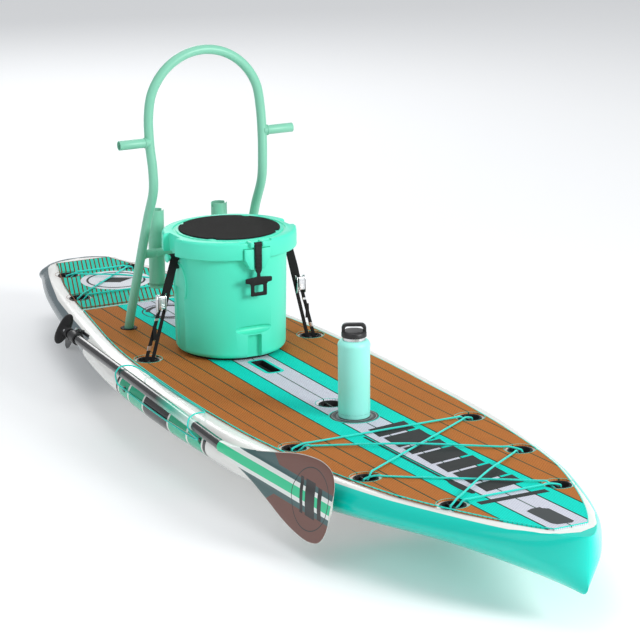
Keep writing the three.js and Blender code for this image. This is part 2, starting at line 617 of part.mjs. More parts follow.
function coolerLid() {
  const y = COOLER_Y;
  const { a, b, skirtBottom, skirtInner, plate: underside } = LID;
  const shell = oval(a, b, skirtBottom, COOLER.top).subtract(disc(skirtInner, 400, underside, 0, y, 40));
  const groove = ring(164, 167, COOLER.top - 2.5, COOLER.top + 5, 0, y, 32);
  const sideNotches = sides.map(([sign]) => box(sign * 181, y - 44, 400, sign * 230, y + 32, 520));
  const keeperNotch = box(-43.5, y - 215, 400, 43.5, y - 150, COOLER.rim + 1.5);
  const latchNotch = box(-13, y - 215, 400, 13, y - 178, 520);
  const lugs = box(-24, LATCH_PIN.y - 6, LATCH_PIN.z - 8, 24, y - 170, LATCH_PIN.z + 7).subtract(latchNotch);
  const pin = rod(v3(-14, LATCH_PIN.y, LATCH_PIN.z), v3(14, LATCH_PIN.y, LATCH_PIN.z), 2.4, 12);
  const knuckles = sides.map(([sign]) => box(sign * 28, y + 176, skirtBottom, sign * 48, y + 205, LID_HINGE.z + 7));
  const hinge = rod(v3(-60, LID_HINGE.y, LID_HINGE.z), v3(60, LID_HINGE.y, LID_HINGE.z), 3.3, 12);
  const knuckleNotch = box(-28, y + 160, 400, 28, y + 215, LID_HINGE.z + 8.5);
  const shellCut = carve(shell, [groove, ...sideNotches, keeperNotch, latchNotch, knuckleNotch]);
  return union([shellCut, lugs, pin, ...knuckles]).subtract(hinge);
}

/** The rubber latch: an eye, a tapered strap, a cross bar and a pull loop. */
function latch() {
  const outline = [
    [-26, 328], [26, 328], [26, 367], [43, 369], [43, 383], [5, 386], [5, 396], [10, 405], [11, 478],
    [-11, 478], [-10, 405], [-5, 396], [-5, 386], [-43, 383], [-43, 369], [-26, 367],
  ];
  const window = box(-15, LATCH_PIN.y - 20, 339, 15, LATCH_PIN.y, 361);
  const strap = upright(outline, LATCH_PIN.y - 7, LATCH_PIN.y - 2).subtract(window);
  const eye = rod(v3(-11, LATCH_PIN.y, LATCH_PIN.z), v3(11, LATCH_PIN.y, LATCH_PIN.z), 6.5, 16);
  const bridge = box(-11, LATCH_PIN.y - 6.5, 470, 11, LATCH_PIN.y - 2, LATCH_PIN.z);
  const hole = rod(v3(-20, LATCH_PIN.y, LATCH_PIN.z), v3(20, LATCH_PIN.y, LATCH_PIN.z), 2.8, 12);
  return union([strap, eye, bridge]).subtract(hole);
}

const lidPadCuts = [45, 135, 225, 315].map((degrees) => {
  const angle = THREE.MathUtils.degToRad(degrees);
  return disc(16, 400, 520, 160 * Math.cos(angle), COOLER_Y + 160 * Math.sin(angle), 12);
});
add('cooler_body', coolerBody(), MATERIALS.mint);
add('cooler_liner', coolerLiner(), MATERIALS.hull);
add('cooler_lid', coolerLid(), MATERIALS.mint);
add('lid_gasket', ring(152, 162, COOLER.rim + 3.3, LID.plate - GAP, 0, COOLER_Y, 32), MATERIALS.rubber);
add('lid_pad', carve(disc(153, COOLER.top + GAP, COOLER.top + 4, 0, COOLER_Y, 36), lidPadCuts), MATERIALS.rubber);
add('lid_hinge_pin', rod(v3(-46, LID_HINGE.y, LID_HINGE.z), v3(46, LID_HINGE.y, LID_HINGE.z), 3, 12), MATERIALS.steel);
add('lid_latch', latch(), MATERIALS.rubber);
add('cooler_base_pad', disc(158, PAD_TOP + GAP, COOLER.bottom - GAP, 0, COOLER_Y, 40), MATERIALS.rubber);

// ---- straps ----
const STRAP_TOP = 430;
const STRAP_BOTTOM = DECK - PIN_DROP;

const WEB = { width: 12, thick: 2.4 };
const PEG_BAND = PEG.r + 0.4;
const PIN_BAND = PIN_R + 0.5;

/** The middle of a strand's face at height z: strand 0 is the outer one and strand 1 the inner one. */
function strandAt(sign, inner, z) {
  const t = (z - STRAP_BOTTOM) / (STRAP_TOP - STRAP_BOTTOM);
  const x = THREE.MathUtils.lerp(TIE_DOWN[0] + (inner ? -11 : 11), inner ? 180.5 : 194, t);
  const front = THREE.MathUtils.lerp(TIE_DOWN[1] - PIN_BAND, PEG.y - PEG_BAND, t);
  return v3(sign * x, front - WEB.thick / 2, z);
}

/** A flat webbing strand between two heights, grown by `more` all round. */
function strand(sign, inner, z0, z1, more = 0) {
  const w = WEB.width / 2 + more;
  const t = WEB.thick / 2 + more;
  const ringAt = (p) => [v3(p.x - w, p.y - t, p.z), v3(p.x + w, p.y - t, p.z), v3(p.x + w, p.y + t, p.z), v3(p.x - w, p.y + t, p.z)];
  return loft([ringAt(strandAt(sign, inner, z0)), ringAt(strandAt(sign, inner, z1))]);
}

function bandRound(x0, x1, y, z, inner) {
  const outer = rod(v3(x0, y, z), v3(x1, y, z), inner + 2.4, 12);
  return outer.subtract(rod(v3(x0 - 1, y, z), v3(x1 + 1, y, z), inner, 12));
}

function strap(sign) {
  const loops = [0, 1].map((inner) => {
    const { x } = strandAt(sign, inner, STRAP_BOTTOM);
    return bandRound(x - WEB.width / 2, x + WEB.width / 2, TIE_DOWN[1], STRAP_BOTTOM, PIN_BAND);
  });
  const near = sign * 173;
  const far = sign * 200;
  const top = bandRound(Math.min(near, far), Math.max(near, far), PEG.y, PEG.z, PEG_BAND);
  const strands = [0, 1].map((inner) => strand(sign, inner, STRAP_BOTTOM, PEG.z));
  return union([...strands, ...loops, top]);
}

const BUCKLE = { z0: 262, z1: 318, halfWidth: 15, pivotZ: 311, pivotY: -7.4 };

/** The middle of a strap's buckle, on the outer strand. */
const buckleAt = (sign) => strandAt(sign, 0, (BUCKLE.z0 + BUCKLE.z1) / 2);

function buckle(sign) {
  const { x, y } = buckleAt(sign);
  const frame = box(x - BUCKLE.halfWidth, y - 10, BUCKLE.z0, x + BUCKLE.halfWidth, y + 5, BUCKLE.z1);
  const webs = [0, 1].map((inner) => strand(sign, inner, BUCKLE.z0 - 20, BUCKLE.z1 + 20, 0.6));
  const nest = box(x - 11, y - 20, BUCKLE.z0 + 8, x + 11, y - 1.2, BUCKLE.z1 + 4);
  const pivot = [v3(x - 13, y + BUCKLE.pivotY, BUCKLE.pivotZ), v3(x + 13, y + BUCKLE.pivotY, BUCKLE.pivotZ)];
  return carve(frame, [...webs, nest]).add(rod(...pivot, 1.6, 8));
}

function buckleLever(sign) {
  const { x, y } = buckleAt(sign);
  const axis = (half) => [
    v3(x - half, y + BUCKLE.pivotY, BUCKLE.pivotZ), v3(x + half, y + BUCKLE.pivotY, BUCKLE.pivotZ),
  ];
  const paddle = box(x - 10, y - 12, BUCKLE.z0 + 12, x + 10, y - 8.6, BUCKLE.pivotZ);
  return rod(...axis(10), 4.4, 12).add(paddle).subtract(rod(...axis(12), 1.9, 8));
}
for (const [sign, side] of sides) {
  add(`strap_${side}`, strap(sign), MATERIALS.black);
  add(`cam_buckle_${side}`, buckle(sign), MATERIALS.steel);
  add(`cam_lever_${side}`, buckleLever(sign), MATERIALS.steel);
}

// ---- bottle ----
const bottleZ = (z) => BOTTLE.base + rocker(MAGNET_Y) + z;
const bottleProfile = (pairs, segments) => turned(pairs.map(([r, z]) => [r, bottleZ(z)]), 0, MAGNET_Y, segments);
add('bottle_body', bottleProfile([
  [0, 0], [41, 0], [BOTTLE.r, 5], [BOTTLE.r, BOTTLE.shoulder], [42, 216], [36, BOTTLE.neck], [32, BOTTLE.neck],
  [32, 218], [40.5, 208], [40.5, 5], [0, 5],
], 24), MATERIALS.bottle);
add('bottle_flask', bottleProfile([
  [0, 5.3], [40.2, 5.3], [40.2, 207.6], [31.7, 217.6], [31.7, BOTTLE.cap], [28, BOTTLE.cap], [28, 219],
  [38, 206.5], [38, 7.5], [0, 7.5],
], 24), MATERIALS.steel);

function bottleCap() {
  const disk = bottleProfile([
    [0, 222.5], [27.6, 222.5], [27.6, BOTTLE.cap + GAP], [BOTTLE.capR, BOTTLE.cap + GAP], [BOTTLE.capR, 243],
    [32, 245.5], [0, 245.5],
  ], 24);
  const outline = [[-34, 240], [34, 240], [34, 258], [25, BOTTLE.top], [-25, BOTTLE.top], [-34, 258]];
  const hole = [[-25, 235], [25, 235], [25, 254], [20, 258.5], [-20, 258.5], [-25, 254]];
  const bail = upright(outline, -7.5, 7.5).subtract(upright(hole, -9, 9));
  return disk.add(bail.rotate([0, 0, -27.6]).translate([0, MAGNET_Y, bottleZ(0)]));
}
add('bottle_cap', bottleCap(), MATERIALS.black);

// ---- paddle ----
const shaftAt = (s) => THROAT.clone().addScaledVector(SHAFT_DIR, s);
const bladeAxis = BLADE_TIP.clone().sub(THROAT).normalize();

/** Across and face directions of something that is square to `axis` and rolled about it. */
function frameAbout(axis, rollDegrees) {
  const up = v3(0, 0, 1).addScaledVector(axis, -axis.z).normalize();
  const across = up.applyAxisAngle(axis, THREE.MathUtils.degToRad(rollDegrees));
  return { across, face: new THREE.Vector3().crossVectors(axis, across) };
}

function blade() {
  const { across, face } = frameAbout(bladeAxis, BLADE_ROLL);
  const widthAt = through([
    [0, 15.5], [50, 20], [140, 37], [240, 64], [350, 95], [440, 108], [490, 103], [515, 88], [530, 58], [534, 20],
  ]);
  const ringAt = (s) => {
    const half = widthAt(s);
    const spine = THREE.MathUtils.lerp(15.5, 3, clamp(s / 420, 0, 1) ** 0.6);
    const edge = THREE.MathUtils.lerp(11, 1.2, clamp(s / 180, 0, 1));
    const at = (a, f) => THROAT.clone().addScaledVector(bladeAxis, s).addScaledVector(across, a).addScaledVector(face, f);
    return [
      at(half, 0), at(half * 0.72, edge * 0.9), at(Math.min(half * 0.4, 14), spine), at(-Math.min(half * 0.4, 14), spine),
      at(-half * 0.72, edge * 0.9), at(-half, 0), at(-half * 0.72, -edge * 0.9), at(-Math.min(half * 0.4, 14), -spine),
      at(Math.min(half * 0.4, 14), -spine), at(half * 0.72, -edge * 0.9),
    ];
  };
  return loft([-6, 30, 80, 140, 200, 260, 320, 380, 440, 480, 505, 522, 531, BLADE_LENGTH].map(ringAt));
}

function lowerShaft() {
  const body = rod(shaftAt(4), shaftAt(SHAFT_LENGTH), SHAFT_R, 20);
  return body.subtract(rod(shaftAt(SHAFT_LENGTH - 440), shaftAt(SHAFT_LENGTH + 5), SHAFT_BORE, 20));
}

const CLAMP = { from: SHAFT_LENGTH - 34, to: SHAFT_LENGTH + 4 };
const gripFrame = frameAbout(SHAFT_DIR, GRIP_ROLL);
const offShaft = (s, across, face) =>
  shaftAt(s).addScaledVector(gripFrame.across, across).addScaledVector(gripFrame.face, face);

function clampCollar() {
  const band = rod(shaftAt(CLAMP.from), shaftAt(CLAMP.to), SHAFT_R + 4, 20);
  const ears = [-1, 1].map((side) => rod(
    offShaft(CLAMP.from + 10, 12, side * 7), offShaft(CLAMP.to - 10, 12, side * 7), 5, 8,
  ));
  const lug = union([-1, 1].map((side) => loft([
    [offShaft(CLAMP.from + 6, 10, side * 4), offShaft(CLAMP.to - 6, 10, side * 4),
      offShaft(CLAMP.to - 6, 10, side * 9), offShaft(CLAMP.from + 6, 10, side * 9)],
    [offShaft(CLAMP.from + 6, 30, side * 4), offShaft(CLAMP.to - 6, 30, side * 4),
      offShaft(CLAMP.to - 6, 30, side * 9), offShaft(CLAMP.from + 6, 30, side * 9)],
  ])));
  const bore = rod(shaftAt(CLAMP.from - 5), shaftAt(CLAMP.to + 5), SHAFT_R + GAP, 20);
  const boltHole = rod(offShaft(SHAFT_LENGTH - 15, 24, -20), offShaft(SHAFT_LENGTH - 15, 24, 20), 3, 10);
  return union([band, ...ears, lug]).subtract(bore).subtract(boltHole);
}

const clampBolt = rod(offShaft(SHAFT_LENGTH - 15, 24, -13), offShaft(SHAFT_LENGTH - 15, 24, 19), 2.6, 10)
  .add(rod(offShaft(SHAFT_LENGTH - 15, 24, -14), offShaft(SHAFT_LENGTH - 15, 24, -9.5), 5, 10));

/** The cam lever on the end of the clamp's bolt, folded along the shaft. */
function clampLever() {
  const at = (s, a, f) => offShaft(SHAFT_LENGTH - 15 + s, 24 + a, f);
  const cam = rod(at(0, 0, 9.6), at(0, 0, 17), 7, 14);
  const arm = loft([
    [at(-2, -4, 10.5), at(-2, 4, 10.5), at(-2, 4, 16.5), at(-2, -4, 16.5)],
    [at(-46, -7, 12), at(-46, 3, 12), at(-46, 3, 16), at(-46, -7, 16)],
  ]);
  return cam.add(arm).subtract(rod(at(0, 0, 5), at(0, 0, 25), 2.9, 10));
}

const GRIP_FROM = SHAFT_LENGTH + 26;
const upperShaft = rod(shaftAt(SHAFT_LENGTH - 430), shaftAt(GRIP_FROM + 18), INNER_SHAFT_R, 20);

/** A palm grip: an oval cross piece on a short stem. */
function grip() {
  const stem = rod(shaftAt(GRIP_FROM), shaftAt(GRIP_FROM + 40), 16, 20, 14);
  const palm = new THREE.SphereGeometry(1, 14, 8).scale(51, 25, 19);
  const basis = new THREE.Matrix4().makeBasis(gripFrame.across, SHAFT_DIR, gripFrame.face);
  const centre = shaftAt(GRIP_FROM + 54);
  palm.applyMatrix4(basis).translate(centre.x, centre.y, centre.z);
  return stem.add(solid(palm)).subtract(rod(shaftAt(GRIP_FROM - 5), shaftAt(GRIP_FROM + 18 + GAP), INNER_SHAFT_R + GAP, 20));
}
add('paddle_blade', blade().subtract(rod(shaftAt(4 - GAP), shaftAt(60), SHAFT_R + GAP, 20)), MATERIALS.blade);
add('paddle_lower_shaft', lowerShaft(), MATERIALS.carbon);
add('paddle_clamp_collar', clampCollar(), MATERIALS.black);
add('paddle_clamp_bolt', clampBolt, MATERIALS.steel);
add('paddle_clamp_lever', clampLever(), MATERIALS.black);
add('paddle_upper_shaft', upperShaft, MATERIALS.carbon);
add('paddle_grip', grip(), MATERIALS.black);

export default board;
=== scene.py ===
"""Looks of a rigged stand up paddleboard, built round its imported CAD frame."""

import math

import bmesh
import bpy
from mathutils import Matrix, Vector


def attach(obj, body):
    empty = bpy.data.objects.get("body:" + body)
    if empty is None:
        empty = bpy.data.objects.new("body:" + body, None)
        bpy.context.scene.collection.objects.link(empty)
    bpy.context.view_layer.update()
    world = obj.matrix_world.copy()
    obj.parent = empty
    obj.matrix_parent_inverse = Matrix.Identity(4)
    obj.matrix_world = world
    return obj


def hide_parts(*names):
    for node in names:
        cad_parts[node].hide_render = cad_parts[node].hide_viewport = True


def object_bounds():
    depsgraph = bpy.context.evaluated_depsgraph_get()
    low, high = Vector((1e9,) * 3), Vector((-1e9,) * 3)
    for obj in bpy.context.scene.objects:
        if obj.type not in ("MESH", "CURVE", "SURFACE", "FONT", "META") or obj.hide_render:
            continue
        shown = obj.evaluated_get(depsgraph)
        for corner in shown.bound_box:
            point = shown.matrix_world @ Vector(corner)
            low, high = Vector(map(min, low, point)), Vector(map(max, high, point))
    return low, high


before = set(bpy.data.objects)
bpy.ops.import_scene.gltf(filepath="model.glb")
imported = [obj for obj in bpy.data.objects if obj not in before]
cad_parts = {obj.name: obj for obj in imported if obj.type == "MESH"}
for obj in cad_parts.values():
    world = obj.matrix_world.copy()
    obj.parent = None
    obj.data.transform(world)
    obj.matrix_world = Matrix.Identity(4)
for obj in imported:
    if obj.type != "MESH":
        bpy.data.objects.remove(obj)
CAD_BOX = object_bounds()
MM = 0.001
BOARD = "board"

# ---- sizes, in millimetres in the frame's axes ----
NOSE_Y = -1600
END_Y = 1597
FOREFOOT_R = 30
PAD_TOP = 120
PAD_THICK = 5
GAP = 0.3
DECK = PAD_TOP - PAD_THICK - GAP
CORD_R = 2.8
RAIL_CORD_R = 2.3
PIN_DROP = 4
PIN_R = 3
LACE_FRONT = [(273, -594), (233, -919), (155, -1226)]
LACE_TAIL = [(188, 1110), (115, 1390)]
TIE_DOWN = (274, 363)
CENTRE_EYELET = (0, -286)
MAGNET_Y = -427
MAIN_PAD_ENDS = (-1521, 958)
TAIL_PAD_ENDS = (986, 1540)
SIDE_FIN_X = 200
SIDE_TAB = (1128, 1218)
CENTRE_TAB = (1250, 1370)
FIN_SLOT = (1180, 1440)
RING_MARK_Y = 815
TAIL_MARK_Y = 1248
RACK_FOOT = Vector((190, 700, 125))
RACK_LEAN = Vector((0, -0.3666, 0.9304))
COOLER_Y = 360
THROAT = Vector((-406.5, -431, 100))
SHAFT_DIR = Vector((0, 1, 0.0408)).normalized()
SHAFT_LENGTH = 1056
BLADE_TIP = Vector((-357, -959, 76))
CLAMP_S = SHAFT_LENGTH - 15


# ---- camera and light, in metres ----
CAMERA_AT = (-3.1292, -6.2120, 2.2587)
CAMERA_RIGHT = Vector((0.8854, -0.4648, -0.0059)).normalized()
CAMERA_BACK = Vector((-0.4458, -0.8528, 0.2720)).normalized()
LIGHTS = (
    # name, place, target, width, power
    ("key", (2.8, -5.4, 2.9), (0, -0.2, 0.3), 2.4, 300),
    ("top", (-0.5, 0.5, 6.5), (0, 0, 0), 4.0, 95),
    ("fill", (-5.0, -2.0, 3.0), (0, 0, 0.2), 4.0, 36),
    ("rim", (1.5, 6.0, 3.5), (0, 0.3, 0.3), 3.0, 90),
)


def camera():
    data = bpy.data.cameras.new("camera")
    data.lens = 140.0
    data.sensor_width = 36
    data.clip_end = 200
    obj = bpy.data.objects.new("camera", data)
    bpy.context.collection.objects.link(obj)
    up = CAMERA_BACK.cross(CAMERA_RIGHT).normalized()
    turn = Matrix((up.cross(CAMERA_BACK), up, CAMERA_BACK)).transposed().to_4x4()
    obj.matrix_world = Matrix.Translation(CAMERA_AT) @ turn
    bpy.context.scene.camera = obj


def area_light(name, place, target, size, power):
    data = bpy.data.lights.new(name, "AREA")
    data.shape = "DISK"
    data.size = size
    data.energy = power
    obj = bpy.data.objects.new(name, data)
    bpy.context.collection.objects.link(obj)
    obj.location = place
    obj.rotation_euler = (Vector(target) - Vector(place)).to_track_quat("-Z", "Y").to_euler()


camera()
bpy.context.scene.view_settings.view_transform = "Standard"
for light in LIGHTS:
    area_light(*light)
world = bpy.data.worlds.new("world")
bpy.context.scene.world = world
world.use_nodes = True
background = world.node_tree.nodes["Background"]
background.inputs["Color"].default_value = (0.95, 0.97, 1, 1)
background.inputs["Strength"].default_value = 0.5


# ---- materials ----
def feed(tree, socket, value):
    """Sets a node's input to a value, or wires it to another node's output."""
    if isinstance(value, Wire):
        tree.links.new(value.socket, socket)
    else:
        socket.default_value = value


class Wire:
    """A material node's output, which can be combined with numbers and other outputs."""

    def __init__(self, tree, socket):
        self.tree = tree
        self.socket = socket

    def math(self, operation, *others):
        node = self.tree.nodes.new("ShaderNodeMath")
        node.operation = operation
        for index, value in enumerate((self, *others)):
            feed(self.tree, node.inputs[index], value)
        return Wire(self.tree, node.outputs[0])

    def __add__(self, other):
        return self.math("ADD", other)

    def __sub__(self, other):
        return self.math("SUBTRACT", other)

    def __mul__(self, other):
        return self.math("MULTIPLY", other)

    def abs(self):
        return self.math("ABSOLUTE")

    def least(self, other):
        return self.math("MINIMUM", other)

    def most(self, other):
        return self.math("MAXIMUM", other)

    def below(self, limit, soft=0.0006):
        """1 where this is under the limit and 0 above it, with a short soft edge."""
        step = (self - limit) * (-1 / soft) + 0.5
        return step.least(1.0).most(0.0)

    def above(self, limit, soft=0.0006):
        return self.below(limit, -soft)

    def between(self, low, high, soft=0.0006):
        return self.above(low, soft) * self.below(high, soft)


class Finish:
    """A material under construction: a colour that masks are painted over, a roughness and a bump."""

    def __init__(self, name, colour, rough=0.5, metal=0.0, vary=0.05, scale=9.0, coat=0.0, sheen=0.0, shine=0.5):
        self.material = bpy.data.materials.new(name)
        self.material.use_nodes = True
        self.tree = self.material.node_tree
        self.shader = self.tree.nodes["Principled BSDF"]
        self.shader.inputs["Metallic"].default_value = metal
        self.shader.inputs["Coat Weight"].default_value = coat
        self.shader.inputs["Coat Roughness"].default_value = 0.06
        self.shader.inputs["Sheen Weight"].default_value = sheen
        self.shader.inputs["Specular IOR Level"].default_value = shine
        coordinates = self.tree.nodes.new("ShaderNodeTexCoord")
        self.place = Wire(self.tree, coordinates.outputs["Object"])
        split = self.tree.nodes.new("ShaderNodeSeparateXYZ")
        self.tree.links.new(self.place.socket, split.inputs[0])
        self.x, self.y, self.z = (Wire(self.tree, split.outputs[i]) for i in range(3))
        dark = tuple(c * (1 - vary) for c in colour)
        light = tuple(min(1, c * (1 + vary)) for c in colour)
        cloud = self.noise(scale, 4)
        self.colour = self.mix(cloud, dark, light)
        self.height = None
        self.rough = cloud * 0.12 + (rough - 0.06)

    def node(self, kind, **inputs):
        """A new node with its inputs set to numbers or wired to other outputs."""
        node = self.tree.nodes.new(kind)
        for name, value in inputs.items():
            feed(self.tree, node.inputs[name], value)
        return node

    def noise(self, scale, detail=3.0, stretch=(1, 1, 1)):
        mapping = self.node("ShaderNodeMapping", Vector=self.place, Scale=stretch)
        place = Wire(self.tree, mapping.outputs[0])
        node = self.node("ShaderNodeTexNoise", Vector=place, Scale=scale, Detail=detail)
        return Wire(self.tree, node.outputs["Fac"])

    def attribute(self, name):
        node = self.node("ShaderNodeAttribute")
        node.attribute_name = name
        return Wire(self.tree, node.outputs["Fac"])

    def mix(self, mask, first, second):
        node = self.node("ShaderNodeMix")
        node.data_type = "RGBA"
        node.clamp_factor = True
        for index, value in ((0, mask), (6, first), (7, second)):
            feed(self.tree, node.inputs[index], (*value, 1) if isinstance(value, tuple) else value)
        return Wire(self.tree, node.outputs[2])

    def paint(self, mask, colour):
        self.colour = self.mix(mask, self.colour, colour)

    def bump(self, height, depth):
        """Adds a height field of that depth in millimetres."""
        raised = height * (depth * MM)
        self.height = raised if self.height is None else self.height + raised

    def done(self):
        links = self.tree.links
        links.new(self.colour.socket, self.shader.inputs["Base Color"])
        links.new(self.rough.socket, self.shader.inputs["Roughness"])
        if self.height is not None:
            node = self.node("ShaderNodeBump", Distance=1.0, Height=self.height)
            links.new(node.outputs[0], self.shader.inputs["Normal"])
        return self.material


def srgb(red, green, blue):
    """Linear colour from 0-255 values."""
    return tuple(((c / 255 + 0.055) / 1.055) ** 2.4 if c > 10 else c / 3294.6 for c in (red, green, blue))


WHITE = srgb(238, 238, 234)
BRIGHT_TEAL = srgb(0, 226, 206)
LILAC = srgb(214, 217, 229)
BROWN = srgb(188, 116, 54)
PLANK_LINE = srgb(22, 78, 58)
CORE_BROWN = srgb(128, 78, 42)
BLACK = srgb(30, 30, 31)
MINT = srgb(80, 232, 198)
SAGE = srgb(128, 200, 172)
GREEN = srgb(0, 172, 130)
# a lighter copy of the rail green, painted on the lower half of the rail blocks as a painted reflection
GREEN_PAINTED_REFLECTION = srgb(52, 192, 152)


def grained(name, colour, rough=0.5, grain=900.0, depth=0.05, **more):
    """A plain moulded or coated surface with a fine grain."""
    finish = Finish(name, colour, rough, **more)
    finish.bump(finish.noise(grain, 2), depth)
    return finish.done()


RUBBER = grained("rubber_black", srgb(24, 24, 25), 0.62, 700, 0.08, shine=0.3)
PLASTIC = grained("plastic_black", srgb(34, 34, 35), 0.42, 1100, 0.04)
MOULDED = grained("cooler_mint", MINT, 0.42, 520, 0.10, vary=0.03, scale=5)
LINER = grained("liner_white", srgb(226, 232, 230), 0.35, 500, 0.05)
COATED = grained("rack_sage", SAGE, 0.38, 1300, 0.05, vary=0.03)
POWDER = grained("bottle_aqua", srgb(158, 246, 232), 0.42, 2600, 0.05, vary=0.02)
FIN_BLACK = grained("fin_black", srgb(22, 23, 24), 0.3, 300, 0.03, coat=0.3)


def brushed(name, colour):
    finish = Finish(name, colour, 0.28, metal=1.0, vary=0.06, scale=40)
    finish.bump(finish.noise(700, 2, (0.1, 1, 1)), 0.03)
    return finish.done()


STEEL = brushed("steel_brushed", (0.66, 0.67, 0.68))


def woven(name, colour, pitch):
    """A fine plain weave, from two crossed sets of threads, with a painted highlight on the raised threads."""
    finish = Finish(name, colour, 0.75, vary=0.12, scale=60, sheen=0.05, shine=0.25)
    turn = 2 * math.pi / (pitch * MM)
    warp = ((finish.x + finish.y * 0.6) * turn).math("SINE")
    weft = ((finish.z + finish.y * 0.5) * turn).math("SINE")
    finish.bump(warp * weft, 0.25)
    # painted highlight: the colour is lightened where the threads stand highest
    finish.paint((warp * weft).above(0.25, 0.3) * 0.35, tuple(min(1, c * 1.6) for c in colour))
    return finish.done()


WEBBING = woven("webbing_black", srgb(20, 20, 21), 2.2)


def braided(name, colour, pitch):
    """A round cord's sheath, with slanting strands and painted shade in the hollows between them."""
    finish = Finish(name, colour, 0.55, vary=0.06, scale=80, sheen=0.2)
    turn = 2 * math.pi / (pitch * MM)
    first = ((finish.x + finish.y + finish.z * 1.4) * turn).math("SINE")
    second = ((finish.x - finish.y + finish.z * 1.4) * turn).math("SINE")
    finish.bump(first.most(second), 0.3)
    # painted shade: the low places between the braid's strands are darkened
    finish.paint(first.most(second).below(-0.2, 0.4) * 0.3, tuple(c * 0.45 for c in colour))
    return finish.done()


CORD = braided("bungee_teal", srgb(16, 234, 216), 2.4)


# ---- mesh tools ----
def turns(count):
    """The angles of that many points round a circle."""
    return [2 * math.pi * i / count for i in range(count)]


def circle(centre, first, second, count):
    """Points round a centre, from the two half-axes of an ellipse."""
    return [centre + first * math.cos(t) + second * math.sin(t) for t in turns(count)]


def mesh_object(name, verts, faces, material, smooth=34):
    data = bpy.data.meshes.new(name)
    data.from_pydata([Vector(v) * MM for v in verts], [], faces)
    data.validate()
    data.update()
    return finish_mesh(name, data, material, smooth)


def finish_mesh(name, data, material, smooth=34):
    data.materials.clear()
    data.materials.append(material)
    shade(data, smooth)
    obj = bpy.data.objects.new(name, data)
    bpy.context.collection.objects.link(obj)
    return obj


def shade(data, smooth=34):
    for polygon in data.polygons:
        polygon.use_smooth = True
    data.set_sharp_from_angle(angle=math.radians(smooth))


def rings_object(name, rings, material, closed=False, smooth=34):
    """A skin over rings of points; closed joins the last ring to the first."""
    count = len(rings[0])
    verts = [p for ring in rings for p in ring]
    faces = []
    spans = len(rings) if closed else len(rings) - 1
    for i in range(spans):
        here = i * count
        there = ((i + 1) % len(rings)) * count
        for j in range(count):
            k = (j + 1) % count
            faces.append((here + j, here + k, there + k, there + j))
    if not closed:
        faces.append(tuple(reversed(range(count))))
        faces.append(tuple(range(len(verts) - count, len(verts))))
    obj = mesh_object(name, verts, faces, material, smooth)
    tidy_normals(obj)
    return obj


def tidy_normals(obj, weld=False):
    """Turns all faces outwards, after joining points that coincide."""
    mesh = bmesh.new()
    mesh.from_mesh(obj.data)
    if weld:
        bmesh.ops.remove_doubles(mesh, verts=mesh.verts, dist=1e-6)
    bmesh.ops.recalc_face_normals(mesh, faces=mesh.faces)
    mesh.to_mesh(obj.data)
    mesh.free()


def lathe(name, profile, x, y, material, segments=72):
    """A turned shape about the vertical axis through (x, y), from (radius, z) pairs that end on the axis or meet."""
    verts = []
    faces = []
    index = []
    for r, z in profile:
        if r < 1e-6:
            index.append([len(verts)] * segments)
            verts.append((x, y, z))
        else:
            index.append(list(range(len(verts), len(verts) + segments)))
            verts += [(x + r * math.cos(t), y + r * math.sin(t), z) for t in turns(segments)]
    for low, high in zip(index, index[1:]):
        for s in range(segments):
            t = (s + 1) % segments
            face = list(dict.fromkeys((low[s], low[t], high[t], high[s])))
            if len(face) > 2:
                faces.append(face)
    obj = mesh_object(name, verts, faces, material)
    tidy_normals(obj, weld=True)
    shade(obj.data)
    return obj


def prism(name, outline, low, high, material, axes=(0, 1, 2)):
    """An outline raised from low to high; axes says which axis each of its two coordinates and its height lie on."""

    def place(a, b, c):
        point = [0.0, 0.0, 0.0]
        for axis, value in zip(axes, (a, b, c)):
            point[axis] = value
        return point

    return rings_object(name, [[place(a, b, c) for a, b in outline] for c in (low, high)], material)


def both_sides(outline):
    """An outline and its mirror image."""
    return outline + [(-a, b) for a, b in reversed(outline)]


def cuboid(name, low, high, material):
    outline = [(low[0], low[1]), (high[0], low[1]), (high[0], high[1]), (low[0], high[1])]
    return prism(name, outline, low[2], high[2], material)


def sweep(name, points, radius, material, sides=16, closed=False):
    """A round section along a list of points."""
    count = len(points)
    rings = []
    normal = None
    for i, point in enumerate(points):
        before = points[(i - 1) % count] if closed or i else point
        after = points[(i + 1) % count] if closed or i + 1 < count else point
        along = (after - before).normalized()
        if normal is None:
            normal = along.orthogonal().normalized()
        normal = (normal - along * normal.dot(along)).normalized()
        rings.append(circle(point, normal * radius, along.cross(normal) * radius, sides))
    if closed:
        rings = untwist(rings)
    return rings_object(name, rings, material, closed=closed, smooth=50)


def untwist(rings):
    """Turns the rings of a closed tube little by little, so that the last one meets the first."""
    sides = len(rings[0])
    last = rings[-1]
    first = rings[0]
    shift = min(range(sides), key=lambda k: sum((last[(s + k) % sides] - first[s]).length for s in range(sides)))
    if shift > sides / 2:
        shift -= sides
    turned = []
    for i, ring in enumerate(rings):
        k = round(shift * (i + 1) / len(rings))
        turned.append([ring[(s + k) % sides] for s in range(sides)])
    return turned


